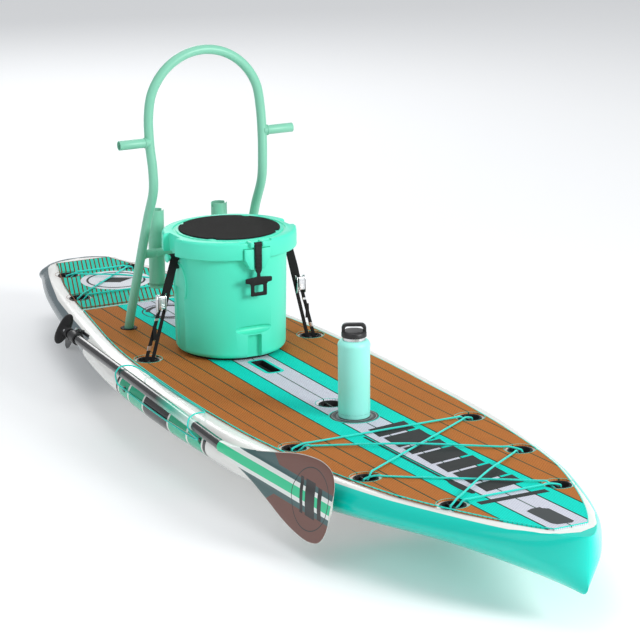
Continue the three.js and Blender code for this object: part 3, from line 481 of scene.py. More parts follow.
def spline(points, steps, closed=False):
    """Centripetal Catmull-Rom points through the given ones, with that many steps to each span."""
    count = len(points)
    points = [Vector(p) for p in points]
    out = []
    spans = count if closed else count - 1
    for i in range(spans):
        p1, p2 = points[i], points[(i + 1) % count]
        p0 = points[(i - 1) % count] if closed or i else p1 * 2 - p2
        p3 = points[(i + 2) % count] if closed or i + 2 < count else p2 * 2 - p1
        knots = [0.0]
        for a, b in ((p0, p1), (p1, p2), (p2, p3)):
            knots.append(knots[-1] + max((b - a).length, 1e-6) ** 0.5)
        t0, t1, t2, t3 = knots
        for step in range(steps):
            t = t1 + (t2 - t1) * step / steps
            a1 = p0 * ((t1 - t) / (t1 - t0)) + p1 * ((t - t0) / (t1 - t0))
            a2 = p1 * ((t2 - t) / (t2 - t1)) + p2 * ((t - t1) / (t2 - t1))
            a3 = p2 * ((t3 - t) / (t3 - t2)) + p3 * ((t - t2) / (t3 - t2))
            b1 = a1 * ((t2 - t) / (t2 - t0)) + a2 * ((t - t0) / (t2 - t0))
            b2 = a2 * ((t3 - t) / (t3 - t1)) + a3 * ((t - t1) / (t3 - t1))
            out.append(b1 * ((t2 - t) / (t2 - t1)) + b2 * ((t - t1) / (t2 - t1)))
    if not closed:
        out.append(points[-1])
    return out


def join(name, objects):
    """One object from several, with their materials."""
    data = bpy.data.meshes.new(name)
    mesh = bmesh.new()
    materials = []
    for obj in objects:
        start = len(mesh.faces)
        mesh.from_mesh(obj.data)
        mesh.faces.ensure_lookup_table()
        for material in obj.data.materials:
            if material not in materials:
                materials.append(material)
        slots = [materials.index(m) for m in obj.data.materials]
        for face in mesh.faces[start:]:
            face.material_index = slots[min(face.material_index, len(slots) - 1)]
    mesh.to_mesh(data)
    mesh.free()
    for material in materials:
        data.materials.append(material)
    for obj in objects:
        bpy.data.objects.remove(obj)
    result = bpy.data.objects.new(name, data)
    bpy.context.collection.objects.link(result)
    return result


def apply_modifier(obj):
    """Replaces the object's mesh with what its modifiers make of it."""
    graph = bpy.context.evaluated_depsgraph_get()
    data = bpy.data.meshes.new_from_object(obj.evaluated_get(graph))
    obj.modifiers.clear()
    obj.data = data
    return obj


def boolean(obj, cutters, operation="DIFFERENCE"):
    """Cuts the object with other objects, which are used up."""
    for cutter in cutters:
        modifier = obj.modifiers.new("cut", "BOOLEAN")
        modifier.operation = operation
        modifier.solver = "EXACT"
        modifier.object = cutter
    bpy.context.view_layer.update()
    apply_modifier(obj)
    for cutter in cutters:
        bpy.data.objects.remove(cutter)
    return obj


def bevel(obj, width, segments=2, angle=35):
    modifier = obj.modifiers.new("bevel", "BEVEL")
    modifier.width = width * MM
    modifier.segments = segments
    modifier.limit_method = "ANGLE"
    modifier.angle_limit = math.radians(angle)
    modifier.use_clamp_overlap = True
    bpy.context.view_layer.update()
    apply_modifier(obj)
    shade(obj.data, 40)
    return obj


def block(name, low, high, material, width, segments=2):
    """A cuboid with bevelled edges."""
    return bevel(cuboid(name, low, high, material), width, segments)


def side_block(name, sign, xs, ys, zs, material, width, segments=2):
    """A bevelled block on one side of the board, from its ranges on the three axes."""
    low, high = sorted(sign * x for x in xs)
    return block(name, (low, ys[0], zs[0]), (high, ys[1], zs[1]), material, width, segments)


def point_values(obj, **layers):
    """Stores a number in metres at each vertex, from values in millimetres."""
    for name, values in layers.items():
        layer = obj.data.attributes.new(name, "FLOAT", "POINT")
        layer.data.foreach_set("value", [v * MM for v in values])


def fix(obj, body, slot, *nodes):
    """The piece rides on the body and stands for the nodes; slot is not used."""
    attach(obj, body)
    if nodes:
        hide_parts(*nodes)
    return obj


def piece(name, parts, body, slot, *nodes):
    """One piece of several parts, fixed to its body."""
    return fix(join(name, parts), body, slot, *nodes)


# ---- hull lines, as in the frame ----
def lerp(a, b, t):
    return a + (b - a) * t


def ease(y, start, end):
    t = min(max((y - start) / (end - start), 0), 1)
    return t * t * (3 - 2 * t)


def through(pairs):
    """A smooth curve through (y, value) pairs."""

    def slope(i):
        a = pairs[max(i - 1, 0)]
        b = pairs[min(i + 1, len(pairs) - 1)]
        return (b[1] - a[1]) / (b[0] - a[0])

    def value(y):
        after = next((i for i, pair in enumerate(pairs) if pair[0] >= y), 0)
        i = min(max(after - 1, 0), len(pairs) - 2)
        (y0, v0), (y1, v1) = pairs[i], pairs[i + 1]
        h = y1 - y0
        t = (y - y0) / h
        start = (1 + 2 * t) * (1 - t) ** 2 * v0 + t * (1 - t) ** 2 * h * slope(i)
        return start + t * t * (3 - 2 * t) * v1 + t * t * (t - 1) * h * slope(i + 1)

    return value


mid_half_width = through([
    (-1300, 201), (-1087, 286), (-727, 368), (-477, 397), (-227, 405), (23, 406), (473, 384), (853, 322),
    (1273, 237), (1523, 160), (1700, 90),
])


def half_width(y):
    if y < -1087:
        return 45 * (max(y - NOSE_Y, 0) / 26) ** 0.62
    if y < 1523:
        return mid_half_width(y)
    return 160 * math.sqrt(max(0, 1 - ((y - 1523) / 77) ** 3))


def rocker(y):
    forward = max(0, -122 - y) / 1000
    aft = max(0, y - 473) / 1000
    return 28.57 * forward**2 - 6.44 * forward**3 + 6.5 * aft**2


def keel(y):
    along = y - NOSE_Y
    if along < FOREFOOT_R:
        return FOREFOOT_R - math.sqrt(FOREFOOT_R**2 - (FOREFOOT_R - along) ** 2)
    if y < 80:
        return 0
    if y < 280:
        return 0.0425 * (y - 80) ** 2 / 400
    return 0.0425 * (y - 180)


def deck_at(y):
    return DECK + rocker(y)


def pad_at(y):
    return PAD_TOP + rocker(y)


def pad_half(y):
    return half_width(y) - (70 - 28 * ease(y, -500, -1250) if y < 0 else 70 - 8 * ease(y, 500, 1300))


HULL_ARC = 14


def hull_section(y):
    half = half_width(y)
    bow = ease(y, -600, -1400)
    stem = ease(y, -1440, -1575)
    stern = ease(y, 1380, 1590)
    low = keel(y)
    top = deck_at(y)
    wide = low + (top - low) * (0.52 + 0.19 * bow - 0.2 * stem)
    flat = half * (0.755 - 0.755 * ease(y, -420, -1250) - 0.4 * stern)
    power = 2 - 0.55 * ease(y, -600, -1250) - 0.15 * stem
    shoulder = min(half * (0.15 + 0.12 * bow + 0.25 * stern), 60)
    right = []
    for i in range(HULL_ARC + 1):
        angle = i / HULL_ARC * math.pi / 2
        across = flat + (half - flat) * math.sin(angle) ** (2 / power)
        drop = max(math.cos(angle), 0) ** (2 / power)
        right.append((across, y, wide - (wide - low) * drop))
    for i in range(1, HULL_ARC + 1):
        angle = i / HULL_ARC * math.pi / 2
        right.append((half - shoulder * (1 - math.cos(angle)), y, wide + (top - wide) * math.sin(angle)))
    left = [(-x, y, z) for x, y, z in reversed(right)]
    return [(0, y, low), *right, (0, y, top), *left]


def drape(obj):
    """Lifts a level piece on the deck so that it follows the deck's rocker."""
    for vertex in obj.data.vertices:
        vertex.co.z += rocker(vertex.co.y / MM) * MM
    return obj


def rod(name, start, end, radius, material, sides=32):
    return sweep(name, [Vector(start), Vector(end)], radius, material, sides)


def disc(name, radius, low, high, x, y, material, sides=64):
    return rod(name, (x, y, low), (x, y, high), radius, material, sides)


SLOT_HALF = 22
SLOT_ENDS = (59, 189)
SLOT_CORNER_R = 10
CORNER_STEPS = 6


def slot_outline(grow):
    """The carry handle's rounded outline."""
    w = SLOT_HALF + grow
    r = SLOT_CORNER_R + grow
    y0, y1 = SLOT_ENDS[0] - grow, SLOT_ENDS[1] + grow
    out = []
    for cx, cy, first in ((w - r, y0 + r, -90), (w - r, y1 - r, 0), (-w + r, y1 - r, 90), (-w + r, y0 + r, 180)):
        for i in range(CORNER_STEPS + 1):
            angle = math.radians(first + 90 * i / CORNER_STEPS)
            out.append((cx + r * math.cos(angle), cy + r * math.sin(angle)))
    return out


SIDES = ((1, "left"), (-1, "right"))
EYELETS = [("eyelet_centre", *CENTRE_EYELET)]
for sign, side in SIDES:
    EYELETS += [(f"eyelet_front_{side}_{i + 1}", sign * x, y) for i, (x, y) in enumerate(LACE_FRONT)]
    EYELETS += [(f"eyelet_tail_{side}_{i + 1}", sign * x, y) for i, (x, y) in enumerate(LACE_TAIL)]
    EYELETS.append((f"tie_down_{side}", sign * TIE_DOWN[0], TIE_DOWN[1]))
CUP_INNER_R = 28
CUP_DEPTH = 19
RING_R = 42


def rack_at(sign, s):
    return Vector((sign * RACK_FOOT.x, RACK_FOOT.y, RACK_FOOT.z)) + RACK_LEAN * s


# ---- hull ----
def hull_paint():
    """Gloss white with a painted bow, stern panels and rail blocks, whose green blocks carry a painted reflection on
    their lower half.
    """
    paint = Finish("hull_gloss", WHITE, 0.2, vary=0.012, scale=3, coat=0.2, shine=0.35)
    edge = (paint.x.abs() - paint.attribute("border")).most(paint.attribute("sheer") - paint.z)
    side = paint.x.abs().above(0.37)
    bow = edge.above(0.0) * paint.y.below(-0.865, 0.0008)
    paint.paint(bow, srgb(0, 208, 190))
    stern = edge.above(0.0) * paint.y.above(0.69, 0.0008)
    paint.paint(stern, srgb(112, 122, 126))
    slant = paint.y - paint.z * 0.5
    paint.paint(edge.above(0.0) * slant.above(0.735, 0.0008), srgb(74, 94, 100))
    blocks = (
        (0.316, 0.330, BLACK), (0.237, 0.306, GREEN), (0.123, 0.226, GREEN), (-0.061, 0.114, BLACK),
        (-0.186, -0.071, GREEN), (-0.284, -0.197, GREEN), (-0.310, -0.293, BLACK),
    )
    lean = paint.y + (paint.z - 0.06) * 0.12
    for low, high, colour in blocks:
        mask = lean.between(low, high, 0.0005) * side * paint.z.between(0.022, 0.098)
        paint.paint(mask, colour)
        if colour == GREEN:
            # painted reflection: the lower half of each green block is painted a lighter green, for light on the
            # rail's rounded side
            paint.paint(mask * paint.z.below(0.070), GREEN_PAINTED_REFLECTION)
            paint.paint(mask * paint.z.between(0.0695, 0.0715), WHITE)
    return paint.done()


BOW_BORDER = through([
    (-1600, -90), (-1561, 0), (-1543, 52), (-1477, 98), (-1341, 178), (-1197, 240), (-1087, 292), (-1000, 360),
])
STERN_BORDER = through([(690, 342), (853, 303), (968, 285), (1163, 245), (1525, 133), (1570, 80), (1597, -40)])


def white_border(y):
    """Half-width of the white part of the deck."""
    if y < -1000:
        return BOW_BORDER(max(y, NOSE_Y))
    if y > 690:
        return STERN_BORDER(min(y, END_Y))
    return 999


def hull():
    nose = [0.4, 2, 5, 9, 14, 21, 30, 41, 55, 72]
    stations = [NOSE_Y + d for d in nose]
    stations += [NOSE_Y + 90 + i * 18 for i in range(171)]
    stations += [1575, 1583, 1589, 1594, END_Y]
    stations = sorted(set(y for y in stations if y <= END_Y))
    body = rings_object("hull_shell", [hull_section(y) for y in stations], hull_paint(), smooth=30)
    cuts = []
    for _, x, y in EYELETS:
        cuts.append(disc("c", CUP_INNER_R + 2.9, deck_at(y) + 1.2 - CUP_DEPTH, deck_at(y) + 60, x, y, RUBBER, 48))
    for sign, _ in SIDES:
        cuts.append(rod("c", rack_at(sign, -88.3), rack_at(sign, 30), 19.3, RUBBER, 40))
        x, (y0, y1) = sign * SIDE_FIN_X, SIDE_TAB
        top = keel(1172) + 20
        cuts.append(cuboid("c", (x - 4.3, y0 - GAP, -5), (x + 4.3, y1 + GAP, top), RUBBER))
    cuts.append(prism("c", slot_outline(GAP), DECK - 42.3, DECK + 10, RUBBER))
    y0, y1 = FIN_SLOT
    cuts.append(cuboid("c", (-13.3, y0 - GAP, -5), (13.3, y1 + GAP, keel(1310) + 32.3), RUBBER))
    out = Vector((-1, 0, -0.25)).normalized()
    for at in ((-401, 262, 70), (-403.5, -275, 70)):
        cuts.append(rod("c", Vector(at) - out * 14.3, Vector(at) + out * 12, 8.3, RUBBER, 24))
    boolean(body, [join("cutters", cuts)])
    shade(body.data, 30)
    along = [v.co.y / MM for v in body.data.vertices]
    point_values(body, border=map(white_border, along), sheer=(deck_at(y) - 7 for y in along))
    fix(body, BOARD, "epoxy_hull", "hull")


hull()


# ---- deck pads ----
def fraction_from_groove(finish, pitch, skew=0.0):
    """Distance in metres from the nearest groove, which runs lengthwise or slants by skew."""
    across = finish.x - (finish.y - SKEW_FROM * MM) * skew
    turn = (across * (1 / (pitch * MM)) + 100.5).math("FRACT") - 0.5
    return turn.abs() * (pitch * MM)


PAD_PITCH = 6.2
TAIL_PITCH = 15.5
TAIL_SKEW = 0.35
SKEW_FROM = 1200
TEAL_HALF, LILAC_HALF = 0.120, 0.059  # the coloured stripes, in metres


def pad_paint():
    paint = Finish("deck_foam", BROWN, 0.85, vary=0.07, scale=14, shine=0.2)
    across = paint.x.abs()
    paint.paint(across.below(TEAL_HALF, 0.0004), BRIGHT_TEAL)
    paint.paint(across.below(LILAC_HALF, 0.0004), LILAC)
    # painted shade: the lengthwise grooves are darkened towards black
    groove = fraction_from_groove(paint, PAD_PITCH).below(0.0009, 0.0006)
    paint.colour = paint.mix(groove * 0.34, paint.colour, (0.03, 0.03, 0.025))
    for line in (0, LILAC_HALF, TEAL_HALF, 0.178, 0.236, 0.292):
        paint.paint((across - line).abs().below(0.0021, 0.0005), PLANK_LINE)
    paint.bump(paint.noise(1400, 2), 0.12)
    return paint.done()


def tail_paint():
    paint = Finish("tail_foam", srgb(34, 206, 180), 0.85, vary=0.06, scale=14, shine=0.2)
    groove = fraction_from_groove(paint, TAIL_PITCH, TAIL_SKEW).below(0.0024, 0.0006)
    paint.paint(groove, CORE_BROWN)
    scales = paint.node("ShaderNodeTexVoronoi", Vector=paint.place, Scale=150)
    scales.feature = "DISTANCE_TO_EDGE"
    cells = Wire(paint.tree, scales.outputs["Distance"])
    paint.bump(cells.most(0.0).least(0.12) * 4.0, 0.8)
    # painted shade: a darker teal in the low creases between the raised cells
    paint.colour = paint.mix(cells.below(0.05, 0.05) * 0.25, paint.colour, srgb(20, 130, 110))
    return paint.done()


def grooved_slab(name, y0, y1, pitch, groove, depth, material, skew):
    """A sheet that follows the deck, with grooves that run lengthwise or slant by skew."""
    top = []
    reach = int((420 + 400 * skew) / pitch)
    for k in range(-reach, reach + 1):
        c = k * pitch
        top += [(c - groove / 2, 0), (c - groove / 4, depth), (c + groove / 4, depth), (c + groove / 2, 0)]
    count = int((y1 - y0) / 24)
    rings = []
    for i in range(count + 1):
        y = lerp(y0, y1, i / count)
        shift = (y - SKEW_FROM) * skew
        ring = [(x + shift, y, pad_at(y) - drop) for x, drop in top]
        low = deck_at(y) + GAP
        rings.append([*ring, (top[-1][0] + shift, y, low), (top[0][0] + shift, y, low)])
    return rings_object(name, rings, material)


def pad_outline(low, high):
    count = int((high - low) / 14)
    return both_sides([(pad_half(y), y) for y in (lerp(low, high, i / count) for i in range(count + 1))])


def pad(name, ends, holes, pitch, groove, depth, material, skew=0.0):
    shape = prism("outline", pad_outline(*ends), PAD_TOP - 30, PAD_TOP + 90, material)
    boolean(shape, [join("holes", holes)])
    slab = grooved_slab(name, ends[0] - 40, ends[1] + 40, pitch, groove, depth, material, skew)
    boolean(slab, [shape], "INTERSECT")
    shade(slab.data, 30)
    return slab


def eyelet_holes(low, high):
    return [
        disc("h", RING_R, PAD_TOP - 35, PAD_TOP + 95, x, y, RUBBER, 72) for _, x, y in EYELETS if low < y < high
    ]


main_holes = eyelet_holes(-2000, 960)
main_holes += [disc("h", 27.5, 80, 220, sign * 190, 702, RUBBER) for sign, _ in SIDES]
main_holes += [disc("h", 68.3, 80, 220, 0, MAGNET_Y, RUBBER, 96), prism("h", slot_outline(5.3), 80, 220, RUBBER)]
main_pad = pad("deck_pad_foam", MAIN_PAD_ENDS, main_holes, PAD_PITCH, 1.5, 0.9, pad_paint())
tail_holes = eyelet_holes(980, 2000)
rear_pad = pad("tail_pad_foam", TAIL_PAD_ENDS, tail_holes, TAIL_PITCH, 3.4, 1.8, tail_paint(), TAIL_SKEW)
fix(main_pad, BOARD, "deck_foam", "deck_pad")
fix(rear_pad, BOARD, "tail_foam", "tail_pad")


# ---- printed marks on the pads, all generic ----
def inlay(name, colour):
    finish = Finish(name, colour, 0.75, vary=0.06, scale=30)
    # painted shade: the grooves under the print are darkened towards black
    groove = fraction_from_groove(finish, PAD_PITCH).below(0.0009, 0.0006)
    finish.colour = finish.mix(groove * 0.35, finish.colour, (0.02, 0.02, 0.02))
    finish.bump(finish.noise(1400, 2), 0.1)
    return finish.done()


INK = inlay("print_black", srgb(20, 26, 26))
INK_TEAL = inlay("print_teal", BRIGHT_TEAL)
INK_WHITE = inlay("print_white", srgb(225, 228, 234))
INK_GREY = inlay("print_grey", srgb(58, 64, 66))
INK_BROWN = inlay("print_brown", CORE_BROWN)


def flat(name, outline, material, lift=0.15, thick=0.35):
    """A thin printed patch on the pad, which follows it."""
    return drape(prism(name, outline, PAD_TOP + lift, PAD_TOP + lift + thick, material))


def annulus(name, inner, outer, x, y, material, lift=0.15, span=(0, 360)):
    """A thin printed ring or arc on the pad."""
    count = 96
    rings = []
    whole = span[1] - span[0] >= 360
    for i in range(count if whole else count + 1):
        angle = math.radians(lerp(span[0], span[1], i / count))
        c, s = math.cos(angle), math.sin(angle)
        low, high = PAD_TOP + lift, PAD_TOP + lift + 0.35
        rings.append([
            (x + inner * c, y + inner * s, low), (x + outer * c, y + outer * s, low),
            (x + outer * c, y + outer * s, high), (x + inner * c, y + inner * s, high),
        ])
    return drape(rings_object(name, rings, material, closed=whole))


def oval(x, y, a, b, steps=48):
    return [(x + a * math.cos(t), y + b * math.sin(t)) for t in turns(steps)]


def edge_band(name, ends, width, material):
    """A thin printed line just inside a pad's edge."""
    loop = pad_outline(*ends)
    rings = []
    for i, (x, y) in enumerate(loop):
        before, after = Vector(loop[i - 1]), Vector(loop[(i + 1) % len(loop)])
        along = (after - before).normalized()
        inward = Vector((-along.y, along.x)) * width
        x0, y0, x1, y1 = x - inward.x * 0.1, y - inward.y * 0.1, x + inward.x, y + inward.y
        top = PAD_TOP + 0.45
        rings.append([(x0, y0, PAD_TOP - 2), (x0, y0, top), (x1, y1, top), (x1, y1, PAD_TOP - 1)])
    return drape(rings_object(name, rings, material, closed=True))


marks = [edge_band("m", MAIN_PAD_ENDS, 2.2, INK_TEAL), edge_band("m", TAIL_PAD_ENDS, 2.2, INK_BROWN)]
marks += [annulus("m", RING_R, RING_R + 1.4, x, y, INK_BROWN if y > 970 else INK_TEAL) for _, x, y in EYELETS]
marks.append(annulus("m", 68.6, 72, 0, MAGNET_Y, INK_TEAL))
outer, inner = slot_outline(9), slot_outline(-1)
border = []
for (ox, oy), (ix, iy) in zip(outer, inner):
    border.append([(ox, oy, 120.1), (ox, oy, 120.45), (ix, iy, 120.45), (ix, iy, 120.1)])
marks.append(rings_object("m", border, INK_TEAL, closed=True))

# slanting blocks in place of lettering, with a paddle-like line beside them
block_y = -1187
for length in (78, 112, 84, 100, 72, 108, 86):
    lean = 22
    block_end = block_y + length - 12
    outline = [(-34, block_y), (-28, block_end), (96, block_end + lean), (90, block_y + lean)]
    marks.append(flat("m", outline, INK))
    block_y += length
marks.append(flat("m", [(-73, -1060), (-73, -612), (-66, -612), (-66, -1060)], INK))
marks.append(flat("m", oval(-68, -1118, 13, 66), INK))
marks.append(flat("m", [(-100, -1270), (-100, -1246), (100, -1246), (100, -1270)], INK))
nose_mark = [
    (-33, -1372), (-33, -1480), (-24, -1496), (14, -1503), (25, -1494), (25, -1384), (12, -1372), (12, -1362),
    (-12, -1362),
]
marks.append(flat("m", nose_mark, INK_GREY))
marks.append(annulus("m", 84, 88, 0, RING_MARK_Y, INK, lift=0.2))
for span in ((20, 160), (200, 340)):
    marks.append(annulus("m", 62, 76, 0, RING_MARK_Y, INK, lift=0.2, span=span))
marks.append(flat("m", oval(0, TAIL_MARK_Y, 118, 118, 96), INK_WHITE, thick=0.3))
marks.append(annulus("m", 92, 99, 0, TAIL_MARK_Y, INK, lift=0.5))
tail_mark = [(-62, TAIL_MARK_Y), (0, TAIL_MARK_Y - 34), (62, TAIL_MARK_Y), (0, TAIL_MARK_Y + 34)]
marks.append(flat("m", tail_mark, INK, 0.5))
piece("pad_prints", marks, BOARD, "deck_foam")


# ---- eyelets, carry handle and magnet pad ----
def eyelet(name, x, y):
    z = DECK + 0.6
    low = z - CUP_DEPTH
    cup = lathe("cup", [
        (0, low + 0.6), (24.5, low + 0.6), (27, low + 3), (29.6, low + 3), (30.4, z), (33, z), (34, z + 0.8),
        (33.4, z + 2.2), (31.5, z + 2.9), (29.5, z + 2.7), (28.2, z + 1.6), (25.2, low + 4.5), (23, low + 2.8),
        (0, low + 2.4),
    ], x, y, RUBBER, 56)
    reach = Vector((29, 0, 0)) if name.startswith("tie_down") else Vector((0, 29, 0))
    centre = Vector((x, y, DECK - PIN_DROP))
    pin = rod("pin", centre - reach, centre + reach, PIN_R, PLASTIC, 20)
    collars = [
        rod("collar", centre + reach * a, centre + reach * b, 4.8, PLASTIC, 20) for a, b in ((-1, -0.8), (0.8, 1))
    ]
    fix(drape(join(name + "_cup", [cup, pin, *collars])), BOARD, "black_rubber", name)


for name, x, y in EYELETS:
    eyelet(name, x, y)


def carry_handle():
    low = DECK - 42
    outer, lip, inner = slot_outline(0), slot_outline(5), slot_outline(-2.5)

    def ring(outline, z):
        return [(x, y, z) for x, y in outline]

    shell = rings_object("tray", [
        ring(outer, low), ring(outer, DECK + 0.3), ring(lip, DECK + 0.3), ring(lip, DECK + 2.3),
        ring(slot_outline(4), DECK + 3.2), ring(slot_outline(-1.5), DECK + 3.2), ring(inner, DECK + 2),
        ring(inner, low + 2.5),
    ], RUBBER)
    bar_z = DECK - 9
    bar = sweep("bar", [Vector((0, y, bar_z)) for y in (59, 90, 158, 189)], 6.5, RUBBER, 24)
    ribs = [rod("rib", (0, y, bar_z), (0, y + 4, bar_z), 7.4, RUBBER, 24) for y in range(80, 168, 9)]
    piece("carry_handle_tray", [shell, bar, *ribs], BOARD, "black_rubber", "carry_handle")


carry_handle()


def magnet_pad():
    finish = Finish("magnet_grey", srgb(52, 54, 56), 0.5, vary=0.05, scale=30)
    along = finish.y - MAGNET_Y * MM
    away = (finish.x * finish.x + along * along).math("SQRT")
    for radius in (0.062, 0.050, 0.047):
        finish.paint((away - radius).abs().below(0.0008, 0.0004), srgb(150, 156, 158))
    finish.bump(finish.noise(900, 2), 0.05)
    base = deck_at(MAGNET_Y) + 1.4
    top = PAD_TOP + 1 + rocker(MAGNET_Y)
    profile = [(0, base), (67.5, base), (68, top - 1.2), (66.8, top)]
    for radius in (62, 50, 47):
        profile += [(radius + 1, top), (radius, top - 0.6), (radius - 1, top)]
    rubber = lathe("magnet_disc", [*profile, (0, top)], 0, MAGNET_Y, finish.done(), 96)
    fix(rubber, BOARD, "black_rubber", "magnet_pad")


magnet_pad()


# ---- lacing and rail cord ----
def wrap(x, y, start, end):
    """Points that take the cord round an eyelet's pin: in under it, up outboard and back over it."""
    outboard = math.copysign(1, x)
    pin_z = deck_at(y) - PIN_DROP
    bend = PIN_R + CORD_R + 1.4

    def towards(target, radius, z):
        reach = math.hypot(target[0] - x, target[1] - y)
        return Vector((x + (target[0] - x) / reach * radius, y + (target[1] - y) / reach * radius, z))

    def around(degrees, dy):
        angle = math.radians(degrees)
        return Vector((x + outboard * bend * math.cos(angle), y + dy, pin_z + bend * math.sin(angle)))

    first = math.copysign(3.4, start[1] - y) if start[1] != y else 0
    last = math.copysign(3.4, end[1] - y) if end[1] != y else 0
    rim = pad_at(y) + 4.2
    lift = pad_at(y) + CORD_R + 2
    return [
        towards(start, RING_R + 10, lift), towards(start, CUP_INNER_R + 2, rim), towards(start, 16, pin_z + 1),
        around(-90, first), around(-30, first / 2), around(30, last / 2), around(90, last),
        towards(end, CUP_INNER_R + 2, rim + 1), towards(end, RING_R + 10, lift),
    ]


def lacing(pins, raised):
    points = []
    for i, (x, y) in enumerate(pins):
        before = pins[i - 1]
        after = pins[(i + 1) % len(pins)]
        points += wrap(x, y, before, after)
        z = (pad_at(y) + pad_at(after[1])) / 2 + CORD_R + 2
        if i in raised:
            z += 2 * CORD_R + 2
        points.append(Vector(((x + after[0]) / 2, (y + after[1]) / 2, z)))
    return points


def mirrored(pin):
    return (-pin[0], pin[1])


FRONT_A, FRONT_B, FRONT_C = LACE_FRONT
TAIL_A, TAIL_B = LACE_TAIL
front = lacing([FRONT_C, mirrored(FRONT_C), FRONT_B, mirrored(FRONT_A), FRONT_A, mirrored(FRONT_B)], (1, 2))
tail = lacing([TAIL_B, mirrored(TAIL_B), TAIL_A, mirrored(TAIL_A)], (1,))


def cord(name, points, steps, radius, node):
    """A closed elastic cord."""
    fix(sweep(name, spline(points, steps, True), radius, CORD, 14, True), BOARD, "bungee_cord", node)


cord("front_lacing", front, 9, CORD_R, "front_bungee")
cord("tail_lacing", tail, 9, CORD_R, "tail_bungee")


def rail_side(y, z):
    return (-half_width(y) - RAIL_CORD_R - 1.8, y, z)


def rail_edge(y):
    return (-pad_half(y) - RAIL_CORD_R - 2.4, y, DECK + RAIL_CORD_R + 1.2)


rail = [
    rail_edge(0), rail_edge(120), rail_edge(205), (-345, 232, 126), (-366, 238, 141), (-392, 242, 149),
    (-415, 246, 146), (-427, 252, 129), (-423, 260, 106), (-415, 268, 88), rail_side(254, 76), rail_side(150, 73),
    rail_side(-100, 71), rail_side(-262, 71), (-413, -282, 80), (-422, -266, 92), (-427, -252, 106),
    (-418, -238, 124), (-398, -226, 131), (-372, -212, 129), (-350, -196, 122), rail_edge(-160),
]
cord("rail_loop", rail, 10, RAIL_CORD_R, "rail_bungee")


# ---- fins ----
def fin(name, x, y, half, root, depth, thick, tab, node):
    """A swept foil on a root tab."""
    front = [(0, -1), (0.3, -0.72), (0.65, -0.3), (0.92, 0.3), (1, 0.68)]
    back = [(0, 1), (0.25, 0.9), (0.6, 0.85), (0.93, 0.92), (1, 0.72)]
    leading, trailing = through(front), through(back)
    rings = []
    for i in range(25):
        t = (i / 24) ** 0.8
        a, b = y + half * leading(t), y + half * trailing(t)
        wide = thick / 2 * (1 - 0.75 * t)
        ring = []
        for turn in turns(32):
            along = (1 - math.cos(turn)) / 2
            ring.append((x + wide * math.sin(turn) * (1 - 0.35 * along), lerp(a, b, along), root - depth * t))
        rings.append(ring)
    (y0, y1), height = tab
    root_tab = block("tab", (x - 3.6, y0, root - 2), (x + 3.6, y1, root + height), FIN_BLACK, 1)
    body = "centre_fin" if node == "centre_fin" else BOARD
    foil = rings_object("foil", rings, FIN_BLACK, smooth=50)
    piece(name, [foil, root_tab], body, "black_plastic", node)


fin("centre_fin_foil", 0, 1310, 64, keel(1180) - 1, 118, 8, (CENTRE_TAB, 24), "centre_fin")
for sign, side in SIDES:
    node = f"side_fin_{side}"
    fin(f"side_fin_foil_{side}", sign * SIDE_FIN_X, 1172, 55, keel(1117) - 0.6, 116, 6, (SIDE_TAB, 20), node)


# ---- nodes of the frame that keep their own shape ----
def keep(name, material, width=0.0):
    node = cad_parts[name]
    node.data.materials.clear()
    node.data.materials.append(material)
    if width:
        modifier = node.modifiers.new("edge", "BEVEL")
        modifier.width = width * MM
        modifier.segments = 2
        modifier.limit_method = "ANGLE"
        modifier.angle_limit = math.radians(40)


for end in ("tail", "nose"):
    keep(f"rail_anchor_{end}", PLASTIC, 0.8)
for name, material in (
    ("fin_box", PLASTIC), ("lid_gasket", RUBBER), ("cooler_liner", LINER), ("lid_hinge_pin", STEEL),
    ("bottle_flask", STEEL), ("paddle_clamp_bolt", STEEL),
):
    keep(name, material)


# ---- rack ----
def hoop_points():
    """Centreline of the hoop, from the right foot over the arch to the left foot."""

    def foot(s):
        return RACK_FOOT + RACK_LEAN * s

    bend = foot((640 - RACK_FOOT.z) / RACK_LEAN.z)
    low, high = foot(200), foot(400)
    low.x, high.x = 187, 182
    half = [
        foot(-80), foot(-40), foot(0), foot(60), low, high, bend + Vector((-8, 6, -40)), bend + Vector((-6, 3, 25)),
        Vector((188, bend.y + 12, 740)), Vector((186, bend.y + 20, 823)),
    ]
    for step in range(5):
        degrees = 20 + 17.5 * step
        angle = math.radians(degrees)
        half.append(Vector((186 * math.cos(angle), bend.y + 20 + degrees / 20, 823 + 186 * math.sin(angle))))
    other = [Vector((-p.x, p.y, p.z)) for p in half[:-1]]
    return spline(other + half[::-1], 10)


def weld_bead(name, centre, axis, radius, material, width=3.2):
    """A rippled fillet where one tube meets another."""
    axis = Vector(axis).normalized()
    side = axis.orthogonal().normalized()
    other = axis.cross(side)
    rings = []
    for angle in turns(72):
        out = side * math.cos(angle) + other * math.sin(angle)
        bulge = width * (1 + 0.18 * math.sin(24 * angle))
        middle = Vector(centre) + out * (radius - 0.6)
        rings.append(circle(middle, out * bulge, axis * (bulge * 1.2), 10))
    return rings_object(name, rings, material, closed=True, smooth=60)


TUBE_R = 14.3
TUBE_SIDES = 36
CROSSBAR_AT = (614, 375)
CROSSBAR_R = 13.5
STUB_AT = (507, 746)
STUB_BORE_R = 12
HOLDER_X, HOLDER_Y = 108, 658


